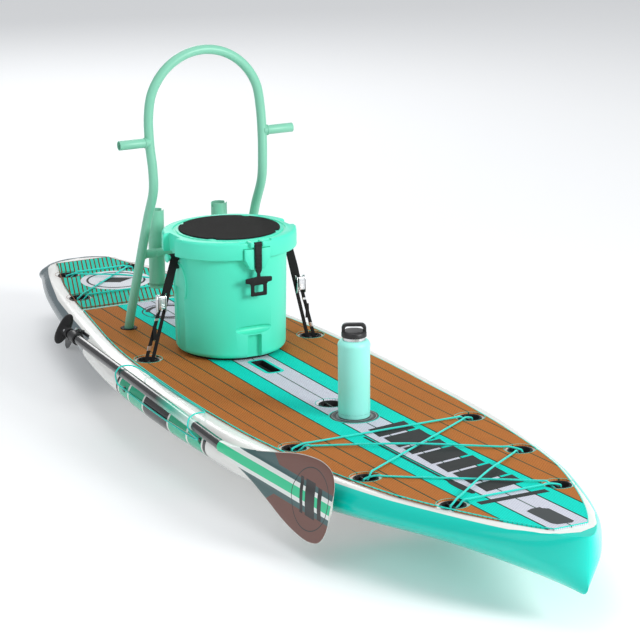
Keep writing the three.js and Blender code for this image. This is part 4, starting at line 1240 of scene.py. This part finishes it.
def rack():
    hoop = sweep("rack_hoop_tube", hoop_points(), TUBE_R, COATED, TUBE_SIDES)
    bar = rod("bar", (-178, *CROSSBAR_AT), (178, *CROSSBAR_AT), CROSSBAR_R, COATED, TUBE_SIDES)
    beads = []
    for sign, _ in SIDES:
        for x, width in ((168.5, 2.6), (84.5, 1.8), (131.5, 1.8)):
            beads.append(weld_bead("bead", (sign * x, *CROSSBAR_AT), (1, 0, 0), CROSSBAR_R, COATED, width))
    fix(hoop, "rack", "rack_paint", "rack_hoop")
    piece("rack_crossbar_tube", [bar, *beads], "rack", "rack_paint", "rack_crossbar")
    for sign, side in SIDES:

        def stub(name, x0, x1, radius, material):
            return rod(name, (sign * x0, *STUB_AT), (sign * x1, *STUB_AT), radius, material, TUBE_SIDES)

        tube = stub("stub", 190, 289, TUBE_R, COATED)
        boolean(tube, [stub("mouth", 259, 300, STUB_BORE_R, COATED)])
        bevel(tube, 0.7)
        cup = stub("cap", 259, 268, STUB_BORE_R, PLASTIC)
        bead = weld_bead("bead", (sign * 204, *STUB_AT), (1, 0, 0), TUBE_R, COATED, 2.6)
        piece(f"rack_stub_tube_{side}", [tube, cup, bead], "rack", "rack_paint", f"rack_stub_{side}")
        walls = lathe("walls", [
            (0, 253), (23.5, 253), (25, 254.5), (25, 499), (24.2, 500), (22.8, 500), (22, 499), (22, 257), (0, 257),
        ], sign * HOLDER_X, HOLDER_Y, COATED, 64)
        x = sign * HOLDER_X
        notch = block("notch", (x - 30, HOLDER_Y - 8, 487), (x + 30, HOLDER_Y + 8, 505), COATED, 3, 4)
        boolean(walls, [notch])
        bevel(walls, 0.5)
        seam = [(24.6, 262), (25, 262), (25, 268), (24.6, 268), (24.6, 262)]
        band = lathe("band", seam, x, HOLDER_Y, COATED, 64)
        piece(f"rod_holder_tube_{side}", [walls, band], "rack", "rack_paint", f"rod_holder_{side}")
        foot = rack_at(sign, 0)
        base = deck_at(700) + GAP
        top = pad_at(700) + 2.5
        flange = lathe("flange", [
            (16.4, base), (26, base), (26, top - 1.6), (24.8, top), (19.5, top), (18.3, top - 0.8), (16.4, top - 0.8),
            (16.4, base),
        ], foot.x, foot.y + 1, RUBBER, 64)
        barrel = rod("barrel", rack_at(sign, -88), rack_at(sign, -8), 19, PLASTIC, 32)
        bore = rod("bore", rack_at(sign, -84), rack_at(sign, 20), 14.9, PLASTIC, 32)
        boolean(barrel, [bore])
        piece(f"rack_socket_barrel_{side}", [flange, barrel], BOARD, "black_rubber", f"rack_socket_{side}")


rack()


# ---- cooler ----
LID_HINGE = (558, 444)
LATCH_PIN = (167, 484)
PEG = (355, 425, 9)


def scoop(wide, tall, deep, z):
    """A finger-hold cutter: an ellipsoid set in the cooler's front wall."""
    profile = [(math.sin(math.pi * i / 24), -math.cos(math.pi * i / 24)) for i in range(25)]
    ball = lathe("scoop", profile, 0, 0, MOULDED, 96)
    stretch = Matrix.Diagonal((wide, deep, tall, 1))
    ball.data.transform(Matrix.Translation(Vector((0, COOLER_Y - wall_radius(z), z)) * MM) @ stretch)
    return ball


def wall_radius(z):
    return lerp(167, 172, (z - 146) / (437 - 146))


def cooler_body():
    profile = [(0, 128.3), (140, 128.3)]
    for i in range(9):
        angle = math.radians(90 * i / 8)
        profile.append((151 + 16 * math.sin(angle), 144.3 - 16 * math.cos(angle)))
    profile += [(wall_radius(300), 300), (wall_radius(430), 430), (172, 437), (172, 468.5), (170.5, 470)]
    profile += [(147.5, 470), (146, 468.5), (142, 160), (0, 160)]
    body = lathe("body", profile, 0, COOLER_Y, MOULDED, 160)
    cuts = []
    for sign, _ in SIDES:
        cuts.append(side_block("c", sign, (163, 192), (330, 384), (110, 330), MOULDED, 5, 4))
    cuts.append(block("c", (-23, 160, 110), (23, 211, 200), MOULDED, 6, 4))
    cuts.append(scoop(72, 14, 19, 217))
    boolean(body, [join("cuts", cuts)])
    bevel(body, 1.4, 2, 50)
    outline = both_sides([(-42, 470), (-42, 441), (-24, 408)])
    keeper = prism("keeper", outline, 165, 200, MOULDED, (0, 2, 1))
    slot = cuboid("slot", (-12.5, 155, 400), (12.5, 172, 480), MOULDED)
    inside = disc("inside", 151, 380, 500, 0, COOLER_Y, MOULDED, 96)
    boolean(keeper, [slot, inside])
    bevel(keeper, 1.5, 3)
    parts = [body, keeper]
    parts.append(block("knuckle", (-27, 525, LID_HINGE[1] - 7), (27, 565, LID_HINGE[1] + 7), MOULDED, 2, 3))
    y, z, r = PEG
    for sign, _ in SIDES:
        parts.append(rod("peg", (sign * 165, y, z), (sign * 208, y, z), r, MOULDED, 32))
        parts.append(bevel(rod("button", (sign * 207, y, z), (sign * 211, y, z), 13, MOULDED, 48), 1.2, 3))
        # the ear-shaped rib round the side groove, and the dark lug beside it
        rib = []
        for i in range(33):
            turn = math.radians(-35 + 250 * i / 32)
            ry, rz = 357 - 40 * math.cos(turn), 340 + 66 * math.sin(turn)
            out = math.sqrt(max(wall_radius(rz) ** 2 - (ry - COOLER_Y) ** 2, 0))
            rib.append(Vector((sign * (out + 0.6), ry, rz)))
        parts.append(sweep("rib", rib, 3.2, MOULDED, 16))
        parts.append(block("lug", (sign * 176 - 6, 352, 389), (sign * 176 + 6, 372, 405), PLASTIC, 2, 3))
    piece("cooler_tub", parts, BOARD, "cooler_plastic", "cooler_body")


cooler_body()


def lid_section(grow, z):
    """The lid's oval outline, drawn in by that much, at a height."""
    points = []
    for t in turns(128):
        points.append(((206 - grow) * math.cos(t), COOLER_Y + (190 - grow) * math.sin(t), z))
    return points


def cooler_lid():
    skirt = [(2.5, 437), (0.8, 438.6), (0, 441), (0, 470), (0.6, 480)]
    for i in range(1, 7):
        angle = math.radians(90 * i / 6)
        skirt.append((0.6 + 9 * (1 - math.cos(angle)), 483 + 9 * math.sin(angle)))
    shell = rings_object("shell", [lid_section(grow, z) for grow, z in skirt], MOULDED)
    y = COOLER_Y
    cuts = [disc("c", 177, 400, 477, 0, y, MOULDED, 128)]
    groove = [(161.5, 489), (169.5, 489), (170.5, 500), (160.5, 500), (161.5, 489)]
    cuts.append(lathe("c", groove, 0, y, MOULDED, 128))
    for sign, _ in SIDES:
        cuts.append(side_block("c", sign, (181, 232), (y - 44, y + 32), (400, 520), MOULDED, 4, 3))
    keeper = cuboid("c", (-43.5, y - 215, 400), (43.5, y - 150, 471.5), MOULDED)
    latch = cuboid("c", (-13, y - 215, 400), (13, y - 178, 520), MOULDED)
    pocket = block("c", (-52, y - 215, 486), (52, y - 170, 520), MOULDED, 4, 3)
    knuckle = cuboid("c", (-28, y + 160, 400), (28, y + 215, LID_HINGE[1] + 8.5), MOULDED)
    for cutter in (*cuts, keeper, latch, pocket, knuckle):
        boolean(shell, [cutter])
    bevel(shell, 1.6, 3, 42)
    parts = [shell]
    py, pz = LATCH_PIN
    for sign, _ in SIDES:
        parts.append(side_block("lug", sign, (13.4, 25), (py - 6, y - 166), (pz - 8, pz + 7.5), MOULDED, 2.5, 3))
        knuckle_z = (437, LID_HINGE[1] + 7)
        parts.append(side_block("knuckle", sign, (28, 48), (y + 176, y + 205), knuckle_z, MOULDED, 2, 3))
        # the raised ears beside each side notch
        for at in (y - 62, y + 50):
            parts.append(side_block("ear", sign, (176, 190), (at - 9, at + 9), (489, 491.8), MOULDED, 1.2))
    parts.append(rod("pin", (-14, py, pz), (14, py, pz), 2.4, STEEL, 20))
    piece("cooler_lid_shell", parts, "lid", "cooler_plastic", "cooler_lid")
    pad = lathe("pad", [(0, 492.3), (152.4, 492.3), (153, 493), (153, 495), (152, 496), (0, 496)], 0, y, LID_PAD, 128)
    notches = []
    for degrees in (45, 135, 225, 315):
        angle = math.radians(degrees)
        notches.append(disc("n", 16, 480, 500, 160 * math.cos(angle), y + 160 * math.sin(angle), RUBBER, 40))
    boolean(pad, notches)
    bevel(pad, 0.5)
    fix(pad, "lid", "black_rubber", "lid_pad")


def lid_pad_paint():
    """Dark foam with a raised diamond grid."""
    finish = Finish("lid_pad_dark", srgb(36, 35, 34), 0.85, vary=0.08, scale=24, shine=0.15)
    turn = 2 * math.pi / 0.011
    first = ((finish.x + finish.y) * turn).math("SINE").abs()
    second = ((finish.x - finish.y) * turn).math("SINE").abs()
    finish.bump(first.least(second).least(0.3) * 3.0, 0.5)
    finish.bump(finish.noise(1100, 2), 0.08)
    return finish.done()


LID_PAD = lid_pad_paint()
cooler_lid()


def latch():
    """The rubber latch: an eye on the lid's pin, a tapered strap, a cross bar and a pull loop."""
    y, z = LATCH_PIN
    outline = [
        (-24, 328), (24, 328), (26, 331), (26, 362), (30, 367), (41, 369), (43, 371), (43, 381), (41, 383), (8, 386),
        (5, 388), (5, 396), (10, 405), (11, 478), (-11, 478), (-10, 405), (-5, 396), (-5, 388), (-8, 386), (-41, 383),
        (-43, 381), (-43, 371), (-41, 369), (-30, 367), (-26, 362), (-26, 331),
    ]
    strap = prism("strap", outline, y - 7, y - 2, RUBBER, (0, 2, 1))
    window = block("window", (-15, y - 20, 339), (15, y + 5, 361), RUBBER, 4, 4)
    boolean(strap, [window])
    bevel(strap, 1.1, 3)
    eye = rod("eye", (-11, y, z), (11, y, z), 6.5, RUBBER, 40)
    boolean(eye, [rod("hole", (-20, y, z), (20, y, z), 2.8, RUBBER, 24)])
    ribs = [block("rib", (-8, y - 8, 414 + i * 12), (8, y - 6.5, 418 + i * 12), RUBBER, 0.6) for i in range(4)]
    bridge = cuboid("bridge", (-11, y - 6.5, 470), (11, y - 2, z), RUBBER)
    piece("lid_latch_rubber", [strap, eye, bridge, *ribs], "latch", "black_rubber", "lid_latch")


latch()
base_pad = lathe("cooler_base_foam", [
    (0, 120.3), (144.5, 120.3), (146, 121.5), (146, 126.8), (144.5, 128), (0, 128),
], 0, COOLER_Y, RUBBER, 128)
fix(base_pad, BOARD, "black_rubber", "cooler_base_pad")


# ---- straps and cam buckles ----
STRAP_BOTTOM = DECK - PIN_DROP
PEG_BAND = PEG[2] + 0.4
PIN_BAND = PIN_R + 0.5
WEB_HALF = 1.2
ACROSS, ALONG = Vector((1, 0, 0)), Vector((0, 1, 0))


def strand_at(sign, inner, z):
    """The middle of a strand at height z: 0 is the outer one and 1 the inner one."""
    t = (z - STRAP_BOTTOM) / (430 - STRAP_BOTTOM)
    x = lerp(TIE_DOWN[0] + (-11 if inner else 11), 180.5 if inner else 194, t)
    front = lerp(TIE_DOWN[1] - PIN_BAND, PEG[0] - PEG_BAND, t)
    return Vector((sign * x, front - WEB_HALF, z))


def flat_ring(p, across, depth, half_width, half_thick):
    """A rounded flat webbing section about p."""
    section = []
    for turn in turns(20):
        c, s = math.cos(turn), math.sin(turn)
        a = math.copysign(abs(c) ** 0.3, c) * half_width
        d = math.copysign(abs(s) ** 0.6, s) * half_thick
        section.append(p + across * a + depth * d)
    return section


def webbing(sign, inner, z0, z1, half_width=6.0, half_thick=WEB_HALF, material=WEBBING, steps=30):
    rings = []
    for i in range(steps + 1):
        middle = strand_at(sign, inner, lerp(z0, z1, i / steps))
        rings.append(flat_ring(middle, ACROSS, ALONG, half_width, half_thick))
    return rings_object("web", rings, material, smooth=50)


def loop_band(x, half, y, z, inner):
    """Webbing wrapped round a pin that lies along X."""
    rings = []
    for turn in turns(32):
        out = Vector((0, math.cos(turn), math.sin(turn)))
        rings.append(flat_ring(Vector((x, y, z)) + out * (inner + WEB_HALF), ACROSS, out, half, WEB_HALF))
    return rings_object("loop", rings, WEBBING, closed=True, smooth=50)


def strap(sign, side):
    parts = []
    for inner in (0, 1):
        foot = strand_at(sign, inner, STRAP_BOTTOM)
        parts.append(webbing(sign, inner, STRAP_BOTTOM, PEG[1]))
        parts.append(loop_band(foot.x, 6, TIE_DOWN[1], STRAP_BOTTOM, PIN_BAND))
    parts.append(loop_band(sign * 186.5, 13.5, PEG[0], PEG[1], PEG_BAND))
    for inner, z0, z1 in ((0, 148, 162), (0, 238, 245)):
        parts.append(webbing(sign, inner, z0, z1, 6.6, 1.9, STEEL, 3))
    # the doubled webbing between the buckle and the peg
    sleeve = []
    for i in range(24):
        z = lerp(320, 424, i / 23)
        p = (strand_at(sign, 0, z) + strand_at(sign, 1, z)) / 2 + Vector((0, -2.6 - 1.2 * math.sin(i / 3.2), 0))
        wide = 12.5 + 1.5 * math.sin(i / 23 * math.pi)
        sleeve.append(flat_ring(p, ACROSS, ALONG, wide, 1.3))
    parts.append(rings_object("sleeve", sleeve, WEBBING, smooth=50))
    # the tail of the webbing, folded back below the buckle
    p = strand_at(sign, 0, 225)
    tail = []
    for i in range(10):
        middle = p + Vector((sign * 4, -3.2 - 1.5 * math.sin(i / 9 * 3), -i * 5))
        tail.append(flat_ring(middle, ACROSS, ALONG, 6, 1))
    parts.append(rings_object("tail", tail, WEBBING, smooth=50))
    piece(f"strap_webbing_{side}", parts, BOARD, "strap_webbing", f"strap_{side}")


def cam_buckle(sign, side):
    middle = strand_at(sign, 0, 290)
    x, y = middle.x, middle.y
    plates = []
    for edge in (-13.6, 13.6):
        outline = [(y - 10, 268), (y - 10, 306), (y - 6, 315), (y, 318), (y + 4, 316), (y + 5, 262), (y - 5, 262)]
        plate = prism("plate", outline, x + edge - 1.2, x + edge + 1.2, STEEL, (1, 2, 0))
        plates.append(bevel(plate, 0.5))
    pin_y, pin_z = y - 7.4, 311
    plates.append(rod("bar", (x - 15, pin_y, pin_z), (x + 15, pin_y, pin_z), 1.8, STEEL, 20))
    plates.append(rod("bar", (x - 14, y + 2.8, 268), (x + 14, y + 2.8, 268), 1.8, STEEL, 20))
    plates.append(block("back", (x - 13, y + 3, 264), (x + 13, y + 4.6, 316), STEEL, 0.5))
    piece(f"cam_buckle_plates_{side}", plates, BOARD, "steel", f"cam_buckle_{side}")
    lever = rod("cam", (x - 10, pin_y, pin_z), (x + 10, pin_y, pin_z), 4.2, STEEL, 32)
    thumb = block("thumb", (x - 10, y - 12, 274), (x + 10, y - 8.8, pin_z), STEEL, 1, 3)
    grips = []
    for z in (278, 283, 288):
        grips.append(block("line", (x - 8, y - 12.5, z), (x + 8, y - 11.6, z + 2), STEEL, 0.3))
    for at in (x - 5, x + 5):
        grips.append(rod("rivet", (at, y - 12.6, 303), (at, y - 11.5, 303), 2.2, STEEL, 20))
    piece(f"cam_lever_plate_{side}", [lever, thumb, *grips], f"cam_lever_{side}", "steel", f"cam_lever_{side}")


for sign, side in SIDES:
    strap(sign, side)
    cam_buckle(sign, side)


# ---- bottle ----
BOTTLE_BASE = PAD_TOP + 1.3 + rocker(MAGNET_Y)


def bottle():
    def turned(name, profile, material):
        return lathe(name, [(r, BOTTLE_BASE + z) for r, z in profile], 0, MAGNET_Y, material, 96)

    shell = [(0, 0.4), (36, 0.4), (38, 0), (41.5, 0), (43.6, 1.6), (44.5, 5), (44.5, 190), (44.4, 198)]
    for i in range(1, 9):
        angle = math.radians(80 * i / 8)
        shell.append((30.5 + 13.9 * math.cos(angle) + 1.2, 203.5 + 17.3 * math.sin(angle)))
    shell += [(32, 221), (32, 218), (40.5, 206), (40.5, 5), (0, 5)]
    foot = turned("foot", [(43.9, 12), (44.5, 12.4), (44.5, 13), (43.9, 13.4), (43.9, 12)], RUBBER)
    piece("bottle_shell", [turned("shell", shell, POWDER), foot], "bottle", "bottle_paint", "bottle_body")
    disk = turned("disk", [
        (0, 222.5), (27.6, 222.5), (27.6, 229.3), (34, 229.3), (35, 230.3), (35, 240.5), (33.6, 243), (31, 245),
        (24, 245.5), (0, 245.5),
    ], PLASTIC)
    ridges = []
    for angle in turns(36):
        out = Vector((math.cos(angle), math.sin(angle), 0)) * 34.4
        foot_at = Vector((0, MAGNET_Y, BOTTLE_BASE)) + out
        ridges.append(rod("ridge", foot_at + Vector((0, 0, 231)), foot_at + Vector((0, 0, 240)), 0.6, PLASTIC, 8))
    outer = both_sides([(-34, 240), (-34, 255), (-31.5, 261.5), (-26, 266), (-20, 267)])
    inner = both_sides([(-25, 236), (-25, 252), (-23.5, 256), (-19, 258.5)])
    bail = prism("bail", outer, -7.5, 7.5, PLASTIC, (0, 2, 1))
    boolean(bail, [prism("hole", inner, -12, 12, PLASTIC, (0, 2, 1))])
    bevel(bail, 2, 4)
    turn = Matrix.Rotation(math.radians(-27.6), 4, "Z")
    place = Matrix.Translation(Vector((0, MAGNET_Y, BOTTLE_BASE)) * MM) @ turn
    bail.data.transform(place)
    piece("bottle_cap_loop", [disk, bail, *ridges], "bottle_cap", "black_plastic", "bottle_cap")


bottle()


# ---- paddle ----
def shaft_at(s):
    return THROAT + SHAFT_DIR * s


def frame_about(axis, roll):
    """Across and face directions square to an axis and rolled about it."""
    up = (Vector((0, 0, 1)) - axis * axis.z).normalized()
    across = Matrix.Rotation(math.radians(roll), 3, axis) @ up
    return across, axis.cross(across)


BLADE_AXIS = (BLADE_TIP - THROAT).normalized()
BLADE_ACROSS, BLADE_FACE = frame_about(BLADE_AXIS, -12)
GRIP_ACROSS, GRIP_FACE = frame_about(SHAFT_DIR, 30)
BLADE_END = 534
BLADE_HALF = through([
    (0, 15.5), (50, 20), (140, 37), (240, 64), (350, 95), (440, 108), (490, 103), (515, 88), (530, 58),
    (BLADE_END, 20),
])
SHAFT_SIDES = 40


def blade_paint():
    """Brown panels with a dark edging and a green stripe, from the blade's own coordinates."""
    paint = Finish("blade_panels", srgb(112, 72, 62), 0.3, vary=0.05, scale=10, coat=0.2, shine=0.4)
    along, across, rim = paint.attribute("along"), paint.attribute("across").abs(), paint.attribute("rim")
    dark = srgb(62, 96, 97)
    paint.paint(across.below(0.040, 0.0008), dark)
    taper = (along * -1.0 + 0.262) * 0.75 - across
    paint.paint(taper.above(-0.05, 0.0012), dark)
    paint.paint(across.below(0.025, 0.0006), srgb(232, 238, 235))
    paint.paint(across.below(0.013, 0.0006), srgb(46, 205, 150))
    paint.paint(rim.below(0.0018, 0.0006), srgb(206, 206, 200))
    away = ((along - 0.438) * (along - 0.438) + across * across).math("SQRT")
    ring = (away - 0.082).abs().below(0.0014, 0.0006)
    paint.paint(ring, srgb(40, 46, 46))
    for centre, half_wide, half_tall in ((0.398, 0.007, 0.046), (0.438, 0.022, 0.046), (0.482, 0.009, 0.040)):
        bar = (along - centre + paint.attribute("across") * 0.25).abs().below(half_wide, 0.0006)
        paint.paint(bar * across.below(half_tall, 0.0006), srgb(44, 42, 42))
    fibre = ((paint.attribute("across") + along) * (2 * math.pi / 0.0024)).math("SINE")
    paint.bump(fibre, 0.02)
    return paint.done()


def blade():
    rings, values = [], []
    stations = {-6, 0, 6, 12, *range(20, 491, 10), 494, 500, 506, 511, 516, 520, 524, 527, 530, 532, 533.4, BLADE_END}
    for s in sorted(stations):
        half = BLADE_HALF(max(s, 0))
        t = min(max(s / 420, 0), 1)
        spine = lerp(15.5, 3, t**0.6)
        edge = lerp(11, 1.0, min(max(s / 180, 0), 1))
        rib = min(half * 0.4, 14)
        ring = []
        for turn in turns(64):
            a = half * math.cos(turn)
            lens = math.sqrt(max(1 - (a / half) ** 2, 0))
            web = edge * min(1, lens * 1.8)
            hump = max(0, 1 - (abs(a) / (rib * 2.1)) ** 2) if s > 20 else lens
            thick = max(web, lerp(web, spine, min(1, hump * 1.25)) if s > 20 else spine * lens)
            f = math.copysign(thick, math.sin(turn)) * (0 if lens < 1e-3 else 1)
            ring.append(THROAT + BLADE_AXIS * s + BLADE_ACROSS * a + BLADE_FACE * f)
            rim = min(half - abs(a), (BLADE_END - s) * 0.9) if s > 150 else 99
            values.append((s, a, rim))
        rings.append(ring)
    obj = rings_object("paddle_blade_panels", rings, blade_paint(), smooth=60)
    along, across, rim = zip(*values)
    point_values(obj, along=along, across=across, rim=rim)
    fix(obj, "paddle", "blade_plastic", "paddle_blade")


def shaft_paint():
    paint = Finish("shaft_gloss", srgb(26, 27, 28), 0.22, vary=0.1, scale=60, coat=0.5)
    weave = ((paint.y + paint.z) * (2 * math.pi / 0.003)).math("SINE")
    other = ((paint.y - paint.z) * (2 * math.pi / 0.003)).math("SINE")
    paint.bump(weave * other, 0.02)
    pale = paint.y.above(-0.257, 0.004)
    into_green = ((paint.y * -1.0 - 0.01) * (1 / 0.09)).most(0.0).least(1.0)
    into_white = ((paint.y * -1.0 - 0.12) * (1 / 0.13)).most(0.0).least(1.0)
    paint.paint(pale * into_green, srgb(36, 176, 148))
    paint.paint(pale * into_white, srgb(214, 232, 226))
    return paint.done()


def off_shaft(s, across, face):
    return shaft_at(s) + GRIP_ACROSS * across + GRIP_FACE * face


def hollow_shaft(name, start, end, outer, inner, material):
    """A tube along the paddle's shaft with softened ends."""
    soft = 0.6
    stations = [
        (start, inner), (start, outer - soft), (start + soft, outer), (end - soft, outer), (end, outer - soft),
        (end, inner),
    ]
    rings = [[off_shaft(s, r * math.cos(t), r * math.sin(t)) for t in turns(SHAFT_SIDES)] for s, r in stations]
    return rings_object(name, rings, material, closed=True)


def block_on_shaft(name, s0, s1, a0, a1, f0, f1, material, width=1.0, end=None):
    """A block in the grip's axes; end gives other face bounds at s1."""
    e0, e1 = end or (f0, f1)
    ends = []
    for s, low, high in ((s0, f0, f1), (s1, e0, e1)):
        ends.append([off_shaft(s, a, f) for a, f in ((a0, low), (a1, low), (a1, high), (a0, high))])
    return bevel(rings_object(name, ends, material), width, 3)


def paddle():
    blade()
    lower = hollow_shaft("shaft", 4, SHAFT_LENGTH, 14.5, 13, shaft_paint())
    ferrule = hollow_shaft("ferrule", 4, 30, 15.4, 14.2, shaft_paint())
    piece("paddle_shaft_lower", [lower, ferrule], "paddle", "carbon_shaft", "paddle_lower_shaft")
    carbon = grained("upper_shaft", srgb(30, 31, 32), 0.35, 500, 0.04)
    upper = hollow_shaft("paddle_shaft_upper", SHAFT_LENGTH - 430, SHAFT_LENGTH + 44, 12.6, 10, carbon)
    fix(upper, "paddle_top", "carbon_shaft", "paddle_upper_shaft")
    s0, s1 = SHAFT_LENGTH - 34, SHAFT_LENGTH + 4
    band = hollow_shaft("band", s0, s1, 18.5, 14.8, PLASTIC)
    lips = [hollow_shaft("lip", a, b, 19.3, 18, PLASTIC) for a, b in ((s0, s0 + 4), (s1 - 4, s1))]
    lugs = [block_on_shaft("lug", s0 + 6, s1 - 6, 12, 30, f - 2.5, f + 2.5, PLASTIC, 1.6) for f in (-6.5, 6.5)]
    piece("paddle_clamp_band", [band, *lips, *lugs], "paddle", "black_plastic", "paddle_clamp_collar")
    arm = block_on_shaft("arm", CLAMP_S - 46, CLAMP_S + 2, 19, 29, 12, 16.2, PLASTIC, 1.8, (10.6, 16.6))
    cam = sweep("cam", [off_shaft(CLAMP_S, 24, 9.8), off_shaft(CLAMP_S, 24, 17)], 7, PLASTIC, 40)
    nut = sweep("nut", [off_shaft(CLAMP_S, 24, 16), off_shaft(CLAMP_S, 24, 18.6)], 4.2, STEEL, 6)
    piece("paddle_clamp_arm", [arm, bevel(cam, 0.8, 3), nut], "clamp_lever", "black_plastic", "paddle_clamp_lever")


PALM_HALF = 50.3


def grip():
    """A palm grip blended onto its stem, with a silver bolt in the stem."""
    s0 = SHAFT_LENGTH + 26
    stem = []
    for s, r in ((0, 13.2), (0, 15.4), (1.2, 16), (10, 16), (12, 15.2), (26, 14.6), (36, 15.5), (44, 18), (50, 19)):
        wide = r * (1 + max(0, s - 30) / 50)
        stem.append([off_shaft(s0 + s, wide * math.cos(t), r * math.sin(t)) for t in turns(SHAFT_SIDES)])
    neck = rings_object("neck", stem, RUBBER, smooth=50)
    palm = []
    for i in range(1, 48):
        a = -PALM_HALF * math.cos(math.pi * i / 48)
        shrink = (1 - (abs(a) / PALM_HALF) ** 2.6) ** 0.5
        ring = []
        for t in turns(SHAFT_SIDES):
            along, face = 23.5 * shrink * math.sin(t), 17.9 * shrink * math.cos(t)
            along += 1.5 * shrink * (abs(a) / PALM_HALF) ** 2
            ring.append(off_shaft(s0 + 54 + along, a, face))
        palm.append(ring)
    handle = rings_object("handle", palm, RUBBER, smooth=60)
    bolt = sweep("bolt", [off_shaft(s0 + 19, 0, -16.4), off_shaft(s0 + 19, 0, 16.4)], 3.6, STEEL, 24)
    piece("paddle_grip_palm", [neck, handle, bolt], "paddle_top", "black_rubber", "paddle_grip")


paddle()
grip()


# ---- floor ----
def floor_paint():
    finish = Finish("floor_pale", (0.84, 0.85, 0.86), 0.9, vary=0.01, scale=0.6)
    finish.shader.inputs["Emission Color"].default_value = (1, 1, 1, 1)
    finish.shader.inputs["Emission Strength"].default_value = 0.17
    return finish.done()


FLOOR_Z = CAD_BOX[0][2] / MM - 1
FLOOR_HALF = 40000
corners = [(FLOOR_HALF * a, FLOOR_HALF * b, FLOOR_Z) for a, b in ((-1, -1), (1, -1), (1, 1), (-1, 1))]
floor = mesh_object("floor", corners, [(0, 1, 2, 3)], floor_paint())
